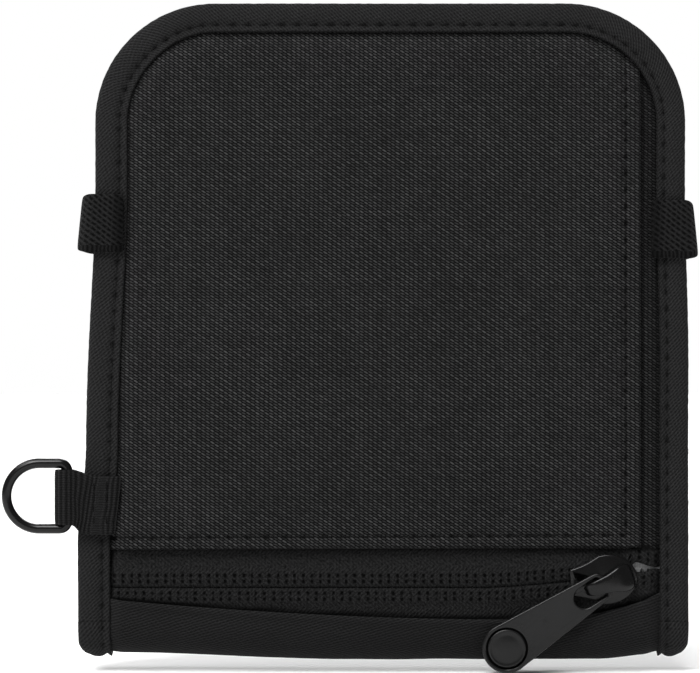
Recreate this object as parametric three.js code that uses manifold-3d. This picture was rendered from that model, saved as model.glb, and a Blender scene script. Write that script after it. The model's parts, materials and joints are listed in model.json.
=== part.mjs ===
// Passport holder wallet: two cloth leaves that close face to face over a soft spine at the bottom.
// The front leaf carries a side-entry slip pocket, a zipped coin pocket and a D-ring; the back leaf
// holds the passport sleeve and the card slots; an elastic band sewn to the front leaf holds it shut.
//
// Millimetres, +Z up, +X to the right of someone facing the zip, +Y from the front leaf to the back.
// Origin: the middle of the spine's lowest line, on the mid-plane between the two closed leaves.
// "Depth" below means distance from that mid-plane: y = -depth on the front leaf, +depth on the back.

import * as THREE from "three";
import { mergeVertices } from "three/addons/utils/BufferGeometryUtils.js";
import Module from "manifold-3d";

const FRONT = -1; // the side of the mid-plane that a leaf lies on
const BACK = 1;

// ---- driving dimensions -------------------------------------------------------------------------
const HEIGHT = 139.3; // spine to top edge
const TOP_LEFT_X = -61.4; // the side edges near the top
const TOP_RIGHT_X = 64.0;
const LEFT_LEAN = 1.9; // how far the left edge leans out by the D-ring
const LEFT_FLARE = 1.7; // and its extra step below the D-ring
const RIGHT_LEAN = 0.7;
const CORNER_R = 24; // the two top corners
const FOLD_Z = 7.5; // the leaves end here, and the spine's curve starts
const FOLD_GAP = 0.3; // clearance between a leaf and the spine
const SPINE_STRETCH = 1.14; // the binding's curve there is this much deeper than it is wide
const SPINE_END_LIFT = 1.2; // its lowest line rises this much towards the bindings
const SPINE_LIFT_WIDTH = 32; // measured in from the leaf's edge
const BINDING_WIDTH = 6.4; // visible width of the binding tape
const BINDING_THICKNESS = 0.7;
const RIM_OUTER = 5.9; // depth of the binding's outer face
const RIM_INNER = 0.5; // depth of the binding's inner face
const SEAM_INSET = 1.8; // cloth runs this close to the edge, inside the binding
const PINCH_WIDTH = 2.5; // cloth climbs from rim depth to full depth in this width
const STIFFENER_INSET = 10;
const STIFFENER_Z = 12;

// Each layer: depth of its inner face at the rim, the same away from the rim, and its thickness.
const SHELL = { rim: 4.3, mid: 6.0, thickness: 0.8 };
const BACK_STIFFENER = { rim: 5.2, mid: 5.2, thickness: 0.6 };
const BACK_LINING = { rim: 3.6, mid: 4.75, thickness: 0.3 };
const SLEEVE = { rim: 1.5, mid: 0.1, thickness: 0.35 };
const BEHIND_POCKET = { rim: 3.6, mid: 5.3, thickness: 0.55 };
const ZIP_TAPE = { rim: 3.6, mid: 5.5, thickness: 0.4 };
const COIN_LINING_FRONT = { rim: 4.75, mid: 4.75, thickness: 0.3 };
const COIN_LINING_BACK = { rim: 3.2, mid: 3.2, thickness: 0.3 };
const FRONT_STIFFENER = { rim: 2.5, mid: 2.5, thickness: 0.5 };
const FRONT_LINING = { rim: 2.6, mid: 2.0, thickness: 0.3 };
const SPINE_LINING_Z = 1.3; // lowest line of the lining inside the fold

const ZIP_Z = 16.4; // centre line of the zip
const ZIP_GAP = 1.2; // between the two rows of the coil
const COIL_X = [-55, 55];
const COIL_PITCH = 1.5;
const COIL_DEPTH = [4.5, 5.4];
const COIL_TOOTH = 0.7; // how far each tooth stands out
const COIL_WIDTH = 2.4; // from the teeth's tips to the row's back
const TAPE_TOP = 27.6; // upper edge of the upper tape
const POCKET_HEM_Z = 23.0; // lower hem of the slip pocket, above the zip
const POCKET_MOUTH_X = 54.3; // right hem of the slip pocket, its open side
const SHELL_HEM_Z = 28; // lower edge of the cloth behind the slip pocket
const COIN_POCKET_BOTTOM = 9;
const COIN_POCKET_TOP = 118;
const LOWER_LIP_Z = 8.1; // lowest point of the lower panel's top edge
const LOWER_LIP_X = 2.5; // where that is
const LOWER_LIP_RISE = 4.8; // how much higher that edge is LOWER_LIP_REACH away
const LOWER_LIP_REACH = 60;
const LOWER_LIP_POWER = 2.4; // a higher power keeps the middle flatter

const CARD_SLOT_X = [-40, 46];
const CARD_SLOT_BOTTOM = 13;
const CARD_SLOT_THICKNESS = 0.3;
const CARD_SLOTS = [ // inner face's depth and top edge
  ["card_slot_rear", 1.55, 96],
  ["card_slot_middle", 1.1, 78],
  ["card_slot_front", 0.65, 60],
];
const SLEEVE_TOP = 104; // top edge of the passport sleeve

const SLIDER_X = 47.2;
const SLIDER_Z = 16.6;
const SLIDER_TILT = 6; // degrees, nose up
const SLIDER_LENGTH = 14.2;
const SLIDER_SHOULDER = 5.3; // half width
const SLIDER_TAIL = 2.95; // half width
const SLIDER_NOSE_X = 0.6; // middle of its round nose, from the slider's middle
const POST_R = 0.42; // the wedge between the two rows of the coil
const POST_X = 4.5; // from the slider's middle
const PLATE_TOP = [6.05, 6.95]; // depths of the slider's outer plate
const PLATE_BOTTOM = [3.75, 4.4];
const CROWN_X = 47.4;
const CROWN_Z = 15.8;
const CROWN_TILT = 19;
const CROWN_TOP = 9.9; // depth
const CROWN_ROOF = 0.75; // metal over the eye's bar
const CROWN_ENDS = [-4.6, 5.4]; // slim tail and broad nose, from the crown's middle
const CROWN_WIDTHS = [0.9, 1.75, 2.3]; // half widths at the tail, the middle and the nose

const PULL_ANGLE = 33.2; // degrees below -X
const PULL_PIVOT = [47.1, 15.8]; // x and z of the eye's cross bar
const PULL_REACH = 24.9; // pivot to the middle of the disc
const PULL_DISC_R = 5.25;
const PULL_EYE_HALF = 3.15; // half width at the eye
const PULL_END = 0.6; // metal beyond the pivot
const PULL_BEVEL = 0.3;
const PULL_CORNER_R = 1.9; // the two corners at the eye
const PULL_HOLE = 7.5; // eye's length from the pivot
const PULL_HOLE_HALF = 2.3;
const PULL_DEPTH = [7.25, 8.75];
const BADGE_R = 4.1;
const BADGE_SINK = 0.5;

const RING_WIRE_R = 1.05;
const RING_R = 6.95; // centre line of the round side
const RING_BAR_X = -67.0;
const RING_Z = 34.4;
const RING_BOW_X = -73.0; // centre of the round side
const RING_CORNER_R = 1.6;
const WEBBING_Z = 33.2;
const WEBBING_WIDTH = 11.8;
const WEBBING_NECK = 10.4; // width where the ring's corners squeeze it
const WEBBING_THICKNESS = 0.8;
const WEBBING_MEET = 4.2; // from the ring's bar to where the two plies come together
const PLY_GAP = 0.2; // between the two plies, and under the lower one
const WEBBING_END_X = -57.6;
const WEBBING_LOW = RIM_OUTER + PLY_GAP + WEBBING_THICKNESS / 2; // depth of the lower ply's middle
const RING_DEPTH = WEBBING_LOW + (WEBBING_THICKNESS + PLY_GAP) / 2;

const BAND_X = 1.05; // middle of the elastic band
const BAND_Z = 91.8;
const BAND_WIDTH = 12.4;
const BAND_THICKNESS = 1.2;
const BAND_REACH = 65.75; // middle to the band's outermost face
const BAND_FRONT_PLY = 9.6; // how far each end reaches in over the front binding
const BAND_BEND = 2.6; // radius where it turns round the leaves' edges
const BAND_BACK_INSET = 12; // it lies flat on the back leaf from here in

// ---- manifold helpers ---------------------------------------------------------------------------
const wasm = await Module();
wasm.setup();

function solidFrom(geometry) {
  const bare = geometry.clone();
  bare.deleteAttribute("normal");
  bare.deleteAttribute("uv");
  const merged = mergeVertices(bare, 1e-4);
  return new wasm.Manifold(
    new wasm.Mesh({
      numProp: 3,
      vertProperties: new Float32Array(merged.attributes.position.array),
      triVerts: new Uint32Array(merged.index.array),
    }),
  );
}

function geometryFrom(solid) {
  const mesh = solid.getMesh();
  return new THREE.BufferGeometry()
    .setAttribute("position", new THREE.BufferAttribute(new Float32Array(mesh.vertProperties), 3))
    .setIndex(new THREE.BufferAttribute(new Uint32Array(mesh.triVerts), 1));
}

function boxBetween([x0, y0, z0], [x1, y1, z1]) {
  return new THREE.BoxGeometry(x1 - x0, y1 - y0, z1 - z0).translate(
    (x0 + x1) / 2,
    (y0 + y1) / 2,
    (z0 + z1) / 2,
  );
}

// ---- numbers and outlines -----------------------------------------------------------------------
const radians = THREE.MathUtils.degToRad;
const lerp = THREE.MathUtils.lerp;
const smooth = (value, from, to) => {
  const t = THREE.MathUtils.clamp((value - from) / (to - from), 0, 1);
  return t * t * (3 - 2 * t);
};

const leftEdge = (z) => TOP_LEFT_X - LEFT_LEAN * smooth(z, 100, 45) - LEFT_FLARE * smooth(z, 45, 24);
const rightEdge = (z) => TOP_RIGHT_X + RIGHT_LEAN * smooth(z, 100, 60);

// The leaf's edge as an open line of [x, z], from the left end of the spine over the top to the right
// end, moved inwards by `inset`. Every inset gives the same number of points, so lines can be joined.
function leafLine(inset) {
  const sideHeights = [FOLD_Z + FOLD_GAP, 24, 31, 38, 45, 70, 100];
  const arcSteps = 7;
  const line = sideHeights.map((z) => [leftEdge(z) + inset, z]);
  const centreZ = HEIGHT - CORNER_R;
  const radius = CORNER_R - inset;
  const corner = (centreX, from, to) => {
    for (let i = 0; i <= arcSteps; i++) {
      const angle = radians(lerp(from, to, i / arcSteps));
      line.push([centreX + radius * Math.cos(angle), centreZ + radius * Math.sin(angle)]);
    }
  };
  corner(leftEdge(centreZ) + CORNER_R, 180, 90);
  corner(rightEdge(centreZ) - CORNER_R, 90, 0);
  sideHeights.reverse().forEach((z) => line.push([rightEdge(z) - inset, z]));
  return line;
}

// Collects triangles and turns them into a closed BufferGeometry, whichever way round they were given.
class Skin {
  constructor() {
    this.points = [];
    this.faces = [];
  }
  add(x, y, z) {
    this.points.push(x, y, z);
    return this.points.length / 3 - 1;
  }
  quad(a, b, c, d) {
    this.faces.push(a, b, c, a, c, d);
  }
  // Fills a ring of points; `flat` gives their positions in the plane they are filled in.
  polygon(indices, flat, flip) {
    const contour = flat.map(([u, v]) => new THREE.Vector2(u, v));
    for (const [a, b, c] of THREE.ShapeUtils.triangulateShape(contour, [])) {
      this.faces.push(indices[a], ...(flip ? [indices[c], indices[b]] : [indices[b], indices[c]]));
    }
  }
  geometry() {
    return new THREE.BufferGeometry()
      .setAttribute("position", new THREE.Float32BufferAttribute(this.points, 3))
      .setIndex(this.faces);
  }
}

const signedVolume = (geometry) => {
  const p = geometry.attributes.position;
  const [a, b, c] = [new THREE.Vector3(), new THREE.Vector3(), new THREE.Vector3()];
  let total = 0;
  for (let i = 0; i < geometry.index.count; i += 3) {
    a.fromBufferAttribute(p, geometry.index.getX(i));
    b.fromBufferAttribute(p, geometry.index.getX(i + 1));
    c.fromBufferAttribute(p, geometry.index.getX(i + 2));
    total += a.dot(b.cross(c)) / 6;
  }
  return total;
};

// Turns every face round if the solid came out with its faces pointing in.
function facingOut(geometry) {
  if (signedVolume(geometry) > 0) return geometry;
  const index = geometry.index.array;
  for (let i = 0; i < index.length; i += 3) [index[i + 1], index[i + 2]] = [index[i + 2], index[i + 1]];
  return geometry;
}

// ---- cloth --------------------------------------------------------------------------------------
// A sheet the shape of a leaf: flat at depth `mid`, and pinched to depth `rim` under the binding.
// side is -1 for the front leaf and 1 for the back one. keep, if given, trims it to a box in x and z.
function leafSheet({ side, rim, mid, thickness, inset = SEAM_INSET, keep }) {
  const skin = new Skin();
  const insets = [inset, BINDING_WIDTH, BINDING_WIDTH + PINCH_WIDTH / 2, BINDING_WIDTH + PINCH_WIDTH];
  const climb = [0, 0, 0.5, 1];
  const rows = insets
    .map((value, i) => ({ line: leafLine(value), depth: lerp(rim, mid, climb[i]) }))
    .filter((row, i) => i === 0 || insets[i] > inset);
  if (inset > BINDING_WIDTH) rows[0].depth = mid;
  const faces = [0, thickness].map((extra) =>
    rows.map(({ line, depth }) => line.map(([x, z]) => skin.add(x, side * (depth + extra), z))),
  );
  const last = rows.length - 1;
  faces.forEach((face, outer) => {
    for (let r = 0; r < last; r++) {
      for (let i = 0; i + 1 < face[r].length; i++) {
        const ring = [face[r][i], face[r][i + 1], face[r + 1][i + 1], face[r + 1][i]];
        skin.quad(...(outer ? ring : ring.reverse()));
      }
    }
    skin.polygon(face[last], rows[last].line, outer === 1);
  });
  const rimLine = (face) => [
    ...face.map((row) => row[0]).reverse(),
    ...face[0].slice(1, -1),
    ...face.map((row) => row[row.length - 1]),
  ];
  const [inner, outer] = faces.map(rimLine);
  for (let i = 0; i < inner.length; i++) {
    const next = (i + 1) % inner.length;
    skin.quad(inner[i], inner[next], outer[next], outer[i]);
  }
  const geometry = facingOut(skin.geometry());
  if (!keep) return geometry;
  const window = boxBetween([keep.x0 ?? -90, -20, keep.z0 ?? 0], [keep.x1 ?? 90, 20, keep.z1 ?? 160]);
  return geometryFrom(solidFrom(geometry).intersect(solidFrom(window)));
}

// A closed profile carried through a list of stations; place(station, u, v) gives each point.
function sweep(profile, stations, place) {
  const skin = new Skin();
  const rings = stations.map((station) => profile.map(([u, v]) => skin.add(...place(station, u, v))));
  for (let s = 0; s + 1 < rings.length; s++) {
    for (let i = 0; i < profile.length; i++) {
      const next = (i + 1) % profile.length;
      skin.quad(rings[s][i], rings[s][next], rings[s + 1][next], rings[s + 1][i]);
    }
  }
  const clockwise = THREE.ShapeUtils.isClockWise(profile.map(([u, v]) => new THREE.Vector2(u, v)));
  skin.polygon(rings[0], profile, !clockwise);
  skin.polygon(rings[rings.length - 1], profile, clockwise);
  return facingOut(skin.geometry());
}

// The binding's section in inset and depth: a tape folded round the cloth edge, open on the inside.
function bindingProfile() {
  const t = BINDING_THICKNESS;
  const outer = [
    [BINDING_WIDTH, RIM_OUTER],
    [1.6, RIM_OUTER],
    [0.5, RIM_OUTER - 0.4],
    [0, RIM_OUTER - 1.3],
    [0, RIM_INNER + 1.3],
    [0.5, RIM_INNER + 0.4],
    [1.6, RIM_INNER],
    [BINDING_WIDTH, RIM_INNER],
  ];
  const inner = [
    [BINDING_WIDTH, RIM_INNER + t],
    [1.7, RIM_INNER + t],
    [t + 0.3, RIM_INNER + t + 0.3],
    [t, RIM_INNER + 1.6],
    [t, RIM_OUTER - 1.6],
    [t + 0.3, RIM_OUTER - t - 0.3],
    [1.7, RIM_OUTER - t],
    [BINDING_WIDTH, RIM_OUTER - t],
  ];
  return [...outer, ...inner];
}

function leafBinding(side) {
  const profile = bindingProfile();
  const lines = new Map(profile.map(([inset]) => [inset, leafLine(inset)]));
  const stations = [...leafLine(0).keys()];
  return sweep(profile, stations, (station, inset, depth) => {
    const [x, z] = lines.get(inset)[station];
    return [x, side * depth, z];
  });
}

// Angles round the spine, from the back leaf to the front one, with a flat facet at the bottom.
const SPINE_ANGLES = [0, 20, 40, 58, 74, 106, 122, 140, 160, 180].map(radians);
const FLAT_SHARE = Math.sin(radians(74));

// The binding carried round the spine, from the back leaf's edge under to the front leaf's.
function spineBinding(end) {
  const edge = end < 0 ? leftEdge(FOLD_Z) : rightEdge(FOLD_Z);
  return sweep(bindingProfile(), SPINE_ANGLES, (angle, inset, depth) => [
    edge - end * inset,
    depth * Math.cos(angle),
    FOLD_Z - SPINE_STRETCH * depth * Math.sin(angle),
  ]);
}

// A trough across the spine: its middle hangs to bottomZ, and its ends are pinched into the bindings.
function spineTrough({ rim, mid, bottomZ, thickness }) {
  const pinched = BINDING_WIDTH + PINCH_WIDTH;
  const insets = [SEAM_INSET, BINDING_WIDTH, pinched, (pinched + SPINE_LIFT_WIDTH) / 2, SPINE_LIFT_WIDTH];
  const half = insets.map((inset) => ({
    inset,
    share: smooth(inset, BINDING_WIDTH, pinched),
    lowest: bottomZ + SPINE_END_LIFT * (1 - smooth(inset, pinched, SPINE_LIFT_WIDTH)),
  }));
  const stations = [
    ...half.map((station) => ({ ...station, x: leftEdge(FOLD_Z) + station.inset })),
    ...half.reverse().map((station) => ({ ...station, x: rightEdge(FOLD_Z) - station.inset })),
  ];
  const skin = new Skin();
  const rings = stations.map(({ x, share, lowest }) => {
    const across = lerp(rim + thickness, mid + thickness, share);
    const down = lerp(SPINE_STRETCH * (rim + thickness), (FOLD_Z - lowest) / FLAT_SHARE, share);
    const line = (inwards) =>
      SPINE_ANGLES.map((angle) =>
        skin.add(x, (across - inwards) * Math.cos(angle), FOLD_Z - (down - inwards) * Math.sin(angle)),
      );
    return [...line(0), ...line(thickness).reverse()];
  });
  const around = rings[0].length;
  for (let s = 0; s + 1 < rings.length; s++) {
    for (let i = 0; i < around; i++) {
      const next = (i + 1) % around;
      skin.quad(rings[s][i], rings[s][next], rings[s + 1][next], rings[s + 1][i]);
    }
  }
  [0, rings.length - 1].forEach((s) => {
    for (let i = 0; i + 1 < SPINE_ANGLES.length; i++) {
      const cap = [rings[s][i], rings[s][i + 1], rings[s][around - 2 - i], rings[s][around - 1 - i]];
      skin.quad(...(s === 0 ? cap.reverse() : cap));
    }
  });
  return facingOut(skin.geometry());
}

// The lower panel of the front leaf: its top edge dips in the middle.
function lowerPanel() {
  const lip = new THREE.Shape([new THREE.Vector2(-80, 0), new THREE.Vector2(80, 0)]);
  for (let x = 80; x >= -80; x -= 8) {
    const along = Math.abs(x - LOWER_LIP_X) / LOWER_LIP_REACH;
    lip.lineTo(x, LOWER_LIP_Z + LOWER_LIP_RISE * along ** LOWER_LIP_POWER);
  }
  const cutter = new THREE.ExtrudeGeometry(lip, { depth: 30, bevelEnabled: false })
    .rotateX(Math.PI / 2)
    .translate(0, 15, 0);
  const whole = leafSheet({ side: FRONT, ...SHELL });
  return geometryFrom(solidFrom(whole).intersect(solidFrom(cutter)));
}

// ---- zip ----------------------------------------------------------------------------------------
// One row of the coil: a bar with teeth along the side that faces the other row.
function coilRow(towards) {
  const [from, to] = COIL_X;
  const tip = ZIP_Z - towards * (ZIP_GAP / 2);
  const root = tip - towards * COIL_TOOTH;
  const back = tip - towards * COIL_WIDTH;
  const shape = new THREE.Shape([new THREE.Vector2(from, back), new THREE.Vector2(to, back)]);
  for (let x = to; x > from + COIL_PITCH; x -= COIL_PITCH) {
    shape.lineTo(x, root);
    shape.lineTo(x - COIL_PITCH * 0.2, tip);
    shape.lineTo(x - COIL_PITCH * 0.6, tip);
    shape.lineTo(x - COIL_PITCH * 0.8, root);
  }
  shape.lineTo(from, root);
  const [near, far] = COIL_DEPTH;
  return new THREE.ExtrudeGeometry(shape, { depth: far - near, bevelEnabled: false })
    .rotateX(Math.PI / 2)
    .translate(0, -near, 0);
}

// Slider outline in its own frame: x from tail to nose, z across; a round nose and a slim tail.
function sliderOutline() {
  const half = SLIDER_LENGTH / 2;
  const shoulder = radians(102); // where the flank meets the nose
  const flankX = SLIDER_NOSE_X + (half - SLIDER_NOSE_X) * Math.cos(shoulder);
  const flankZ = SLIDER_SHOULDER * Math.sin(shoulder);
  const bendX = -half + 3.3;
  const bendZ = SLIDER_TAIL + 0.45;
  const shape = new THREE.Shape();
  shape.moveTo(-half, -SLIDER_TAIL);
  shape.quadraticCurveTo(bendX, -bendZ, flankX, -flankZ);
  shape.absellipse(SLIDER_NOSE_X, 0, half - SLIDER_NOSE_X, SLIDER_SHOULDER, -shoulder, shoulder, false);
  shape.quadraticCurveTo(bendX, bendZ, -half, SLIDER_TAIL);
  shape.closePath();
  return shape;
}

// Stands a shape drawn in the slider's own x and z up between two depths.
function sliderPlate(shape, [near, far], bevel = 0) {
  return new THREE.ExtrudeGeometry(shape, {
    depth: far - near - 2 * bevel,
    bevelEnabled: bevel > 0,
    bevelSize: bevel,
    bevelThickness: bevel,
    bevelOffset: -bevel,
    bevelSegments: 1,
    curveSegments: 6,
  })
    .rotateX(Math.PI / 2)
    .translate(0, -near - bevel, 0)
    .rotateY(-radians(SLIDER_TILT))
    .translate(SLIDER_X, 0, SLIDER_Z);
}

// Two plates, one each side of the chain, joined by the wedge's post that runs between the coil rows.
function sliderBody() {
  const sink = 0.2; // how far the post runs into each plate
  const post = new THREE.CylinderGeometry(POST_R, POST_R, PLATE_TOP[0] - PLATE_BOTTOM[1] + 2 * sink, 12)
    .translate(SLIDER_X + POST_X, -(PLATE_TOP[0] + PLATE_BOTTOM[1]) / 2, ZIP_Z);
  return geometryFrom(
    solidFrom(sliderPlate(sliderOutline(), PLATE_TOP, 0.25))
      .add(solidFrom(sliderPlate(sliderOutline(), PLATE_BOTTOM, 0.15)))
      .add(solidFrom(post)),
  );
}

// The arched crown over the puller's eye, seen from the front a drop: broad at the nose, slim at the tail.
function sliderCrown() {
  const base = PLATE_TOP[1] + 0.05;
  const top = CROWN_TOP;
  const under = top - CROWN_ROOF;
  const [tailX, noseX] = CROWN_ENDS;
  const [tailHalf, middleHalf, noseHalf] = CROWN_WIDTHS;
  const side = new THREE.Shape();
  side.moveTo(tailX, base);
  side.quadraticCurveTo(tailX, top, tailX + 3.4, top);
  side.quadraticCurveTo(noseX - 2.4, top, noseX, base + 0.5);
  side.lineTo(noseX, base);
  side.lineTo(noseX - 3.2, base);
  side.quadraticCurveTo(noseX - 3.6, under, noseX - 5.2, under);
  side.lineTo(tailX + 2.6, under);
  side.quadraticCurveTo(tailX + 1.2, under, tailX + 1.2, base);
  side.closePath();
  const arch = new THREE.ExtrudeGeometry(side, { depth: 8, bevelEnabled: false, curveSegments: 6 })
    .translate(0, 0, -4)
    .scale(1, -1, 1);
  const drop = new THREE.Shape();
  drop.moveTo(tailX, -tailHalf);
  drop.quadraticCurveTo(tailX + 3, -1.5, 0.4, -middleHalf);
  drop.quadraticCurveTo(noseX, -noseHalf, noseX + 0.1, 0);
  drop.quadraticCurveTo(noseX, noseHalf, 0.4, middleHalf);
  drop.quadraticCurveTo(tailX + 3, 1.5, tailX, tailHalf);
  drop.closePath();
  const footprint = new THREE.ExtrudeGeometry(drop, { depth: 20, bevelEnabled: false, curveSegments: 6 })
    .rotateX(Math.PI / 2);
  return geometryFrom(solidFrom(facingOut(merged(arch))).intersect(solidFrom(footprint)))
    .rotateY(-radians(CROWN_TILT))
    .translate(CROWN_X, 0, CROWN_Z);
}

function merged(geometry) {
  const bare = geometry.clone();
  bare.deleteAttribute("normal");
  bare.deleteAttribute("uv");
  return mergeVertices(bare, 1e-4);
}

// Drawn lying along -X from the eye's cross bar, then turned down to its resting angle.
function layPuller(geometry) {
  return geometry.rotateY(-radians(PULL_ANGLE)).translate(PULL_PIVOT[0], 0, PULL_PIVOT[1]);
}

function zipPuller() {
  const [near, far] = PULL_DEPTH;
  const cornerX = PULL_END - PULL_CORNER_R;
  const cornerZ = PULL_EYE_HALF - PULL_CORNER_R;
  const lean = Math.asin((PULL_DISC_R - PULL_EYE_HALF) / PULL_REACH);
  const outline = new THREE.Shape();
  outline.absarc(-PULL_REACH, 0, PULL_DISC_R, Math.PI / 2 - lean, Math.PI * 1.5 + lean, false);
  outline.absarc(cornerX, -cornerZ, PULL_CORNER_R, -Math.PI / 2, 0, false);
  outline.absarc(cornerX, cornerZ, PULL_CORNER_R, 0, Math.PI / 2, false);
  outline.closePath();
  const blank = new THREE.ExtrudeGeometry(outline, {
    depth: far - near - 2 * PULL_BEVEL,
    bevelSize: PULL_BEVEL,
    bevelThickness: PULL_BEVEL,
    bevelOffset: -PULL_BEVEL,
    bevelSegments: 1,
    curveSegments: 12,
  })
    .rotateX(Math.PI / 2)
    .translate(0, -near - PULL_BEVEL, 0);
  const barX = -PULL_END;
  const hole = new THREE.Shape();
  hole.absarc(PULL_HOLE_HALF - PULL_HOLE, 0, PULL_HOLE_HALF, Math.PI / 2, Math.PI * 1.5, false);
  hole.lineTo(barX, -PULL_HOLE_HALF);
  hole.lineTo(barX, PULL_HOLE_HALF);
  hole.closePath();
  const eye = new THREE.ExtrudeGeometry(hole, { depth: 6, bevelEnabled: false, curveSegments: 8 })
    .rotateX(Math.PI / 2)
    .translate(0, 2 - near, 0);
  const seatR = BADGE_R + 0.3;
  const seat = new THREE.CylinderGeometry(seatR, seatR, 2 * BADGE_SINK, 24).translate(-PULL_REACH, -far, 0);
  return layPuller(geometryFrom(solidFrom(blank).subtract(solidFrom(eye)).subtract(solidFrom(seat))));
}

// The plain domed disc let into the puller's round end.
function pullerBadge() {
  const seatDepth = PULL_DEPTH[1] - BADGE_SINK + 0.05;
  const profile = [
    new THREE.Vector2(0, 0),
    new THREE.Vector2(BADGE_R, 0),
    new THREE.Vector2(BADGE_R, 0.35),
    new THREE.Vector2(BADGE_R - 0.5, 0.6),
    new THREE.Vector2(0, 0.75),
  ];
  const disc = new THREE.LatheGeometry(profile, 24).rotateX(Math.PI).translate(-PULL_REACH, -seatDepth, 0);
  return layPuller(facingOut(merged(disc)));
}

// ---- D-ring and its webbing ---------------------------------------------------------------------
function dRing() {
  const points = [];
  const arc = (x, z, r, from, to, steps) => {
    for (let i = 0; i <= steps; i++) {
      const angle = radians(lerp(from, to, i / steps));
      points.push(new THREE.Vector3(x + r * Math.cos(angle), -RING_DEPTH, z + r * Math.sin(angle)));
    }
  };
  const cornerX = RING_BAR_X - RING_CORNER_R;
  const cornerRise = RING_R - RING_CORNER_R;
  arc(RING_BOW_X, RING_Z, RING_R, 90, 270, 14);
  arc(cornerX, RING_Z - cornerRise, RING_CORNER_R, 270, 360, 4);
  arc(cornerX, RING_Z + cornerRise, RING_CORNER_R, 0, 90, 4);
  return wireLoop(points, RING_WIRE_R, 8);
}

// A round wire bent along a closed flat loop of points at one depth.
function wireLoop(points, wireR, sides) {
  const skin = new Skin();
  const n = points.length;
  const rings = points.map((p, i) => {
    const before = points[(i + n - 1) % n];
    const after = points[(i + 1) % n];
    const along = after.clone().sub(before).normalize();
    const across = new THREE.Vector3(along.z, 0, -along.x);
    return Array.from({ length: sides }, (_, s) => {
      const angle = (s / sides) * 2 * Math.PI;
      const out = across.clone().multiplyScalar(wireR * Math.cos(angle));
      return skin.add(p.x + out.x, p.y + wireR * Math.sin(angle), p.z + out.z);
    });
  });
  rings.forEach((ring, i) => {
    const ahead = rings[(i + 1) % n];
    for (let s = 0; s < sides; s++) {
      const next = (s + 1) % sides;
      skin.quad(ring[s], ring[next], ahead[next], ahead[s]);
    }
  });
  return facingOut(skin.geometry());
}

// A strip of constant thickness along a line of [x, depth], as a Shape in x and y.
function stripShape(line, thickness) {
  const sides = [[], []];
  line.forEach(([x, d], i) => {
    const [xa, da] = line[Math.max(i - 1, 0)];
    const [xb, db] = line[Math.min(i + 1, line.length - 1)];
    const length = Math.hypot(xb - xa, db - da);
    const [nx, nd] = [(-(db - da) / length) * (thickness / 2), ((xb - xa) / length) * (thickness / 2)];
    sides[0].push(new THREE.Vector2(x + nx, -(d + nd)));
    sides[1].unshift(new THREE.Vector2(x - nx, -(d - nd)));
  });
  return new THREE.Shape([...sides[0], ...sides[1]]);
}

// Webbing folded round the ring's bar, its two plies lying on the binding.
function webbingLoop() {
  const loopR = RING_WIRE_R + 0.3 + WEBBING_THICKNESS / 2;
  const upper = WEBBING_LOW + WEBBING_THICKNESS + PLY_GAP;
  const meetX = RING_BAR_X + WEBBING_MEET;
  const line = [[WEBBING_END_X, upper], [meetX, upper]];
  for (let angle = 60; angle <= 300; angle += 24) {
    const a = radians(angle);
    line.push([RING_BAR_X + loopR * Math.cos(a), RING_DEPTH + loopR * Math.sin(a)]);
  }
  line.push([meetX, WEBBING_LOW], [WEBBING_END_X, WEBBING_LOW]);
  const geometry = new THREE.ExtrudeGeometry(stripShape(line, WEBBING_THICKNESS), {
    depth: 1,
    bevelEnabled: false,
  }).translate(0, 0, -0.5);
  const p = geometry.attributes.position;
  for (let i = 0; i < p.count; i++) {
    const spread = smooth(p.getX(i), RING_BAR_X + 1, RING_BAR_X + 6);
    const width = lerp(WEBBING_NECK, WEBBING_WIDTH, spread);
    p.setZ(i, lerp(RING_Z, WEBBING_Z, spread) + p.getZ(i) * width);
  }
  return facingOut(merged(geometry));
}

// ---- elastic band -------------------------------------------------------------------------------
// From its seam at the front binding, round one edge, across the back leaf, and round to the front.
function closureBand() {
  const face = RIM_OUTER + PLY_GAP + BAND_THICKNESS / 2;
  const back = SHELL.mid + SHELL.thickness + PLY_GAP + BAND_THICKNESS / 2;
  const turnX = BAND_REACH - BAND_THICKNESS / 2 - BAND_BEND;
  const half = [[BAND_REACH - BAND_FRONT_PLY, face]];
  const turn = (depth, from, to) => {
    for (let a = from; a >= to; a -= 22.5) {
      half.push([turnX + BAND_BEND * Math.cos(radians(a)), depth + BAND_BEND * Math.sin(radians(a))]);
    }
  };
  turn(face - BAND_BEND, 90, 0);
  turn(BAND_BEND - face, 0, -90);
  half.push([BAND_REACH - BAND_BACK_INSET, -back]);
  const line = [...half.map(([x, d]) => [-x, d]), ...half.reverse()];
  return new THREE.ExtrudeGeometry(stripShape(line, BAND_THICKNESS), {
    depth: BAND_WIDTH,
    bevelEnabled: false,
  }).translate(BAND_X, 0, BAND_Z - BAND_WIDTH / 2);
}

// ---- assembly -----------------------------------------------------------------------------------
const shellCloth = { color: 0x171717, roughness: 0.85, metalness: 0 };
const tapeCloth = { color: 0x131313, roughness: 0.9, metalness: 0 };
const blackCloth = { color: 0x121212, roughness: 0.9, metalness: 0 };
const greyLining = { color: 0x6d6e70, roughness: 0.85, metalness: 0 };
const foam = { color: 0x3a3a3c, roughness: 1, metalness: 0 };
const blackMetal = { color: 0x101011, roughness: 0.3, metalness: 0.6 };

const wallet = new THREE.Group();
wallet.name = "passport_wallet";
const backLeaf = new THREE.Group();
const frontLeaf = new THREE.Group();
wallet.add(backLeaf, frontLeaf);

function piece(group, name, geometry, look) {
  const mesh = new THREE.Mesh(geometry, new THREE.MeshStandardMaterial(look));
  mesh.name = name;
  group.add(mesh);
}

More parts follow.
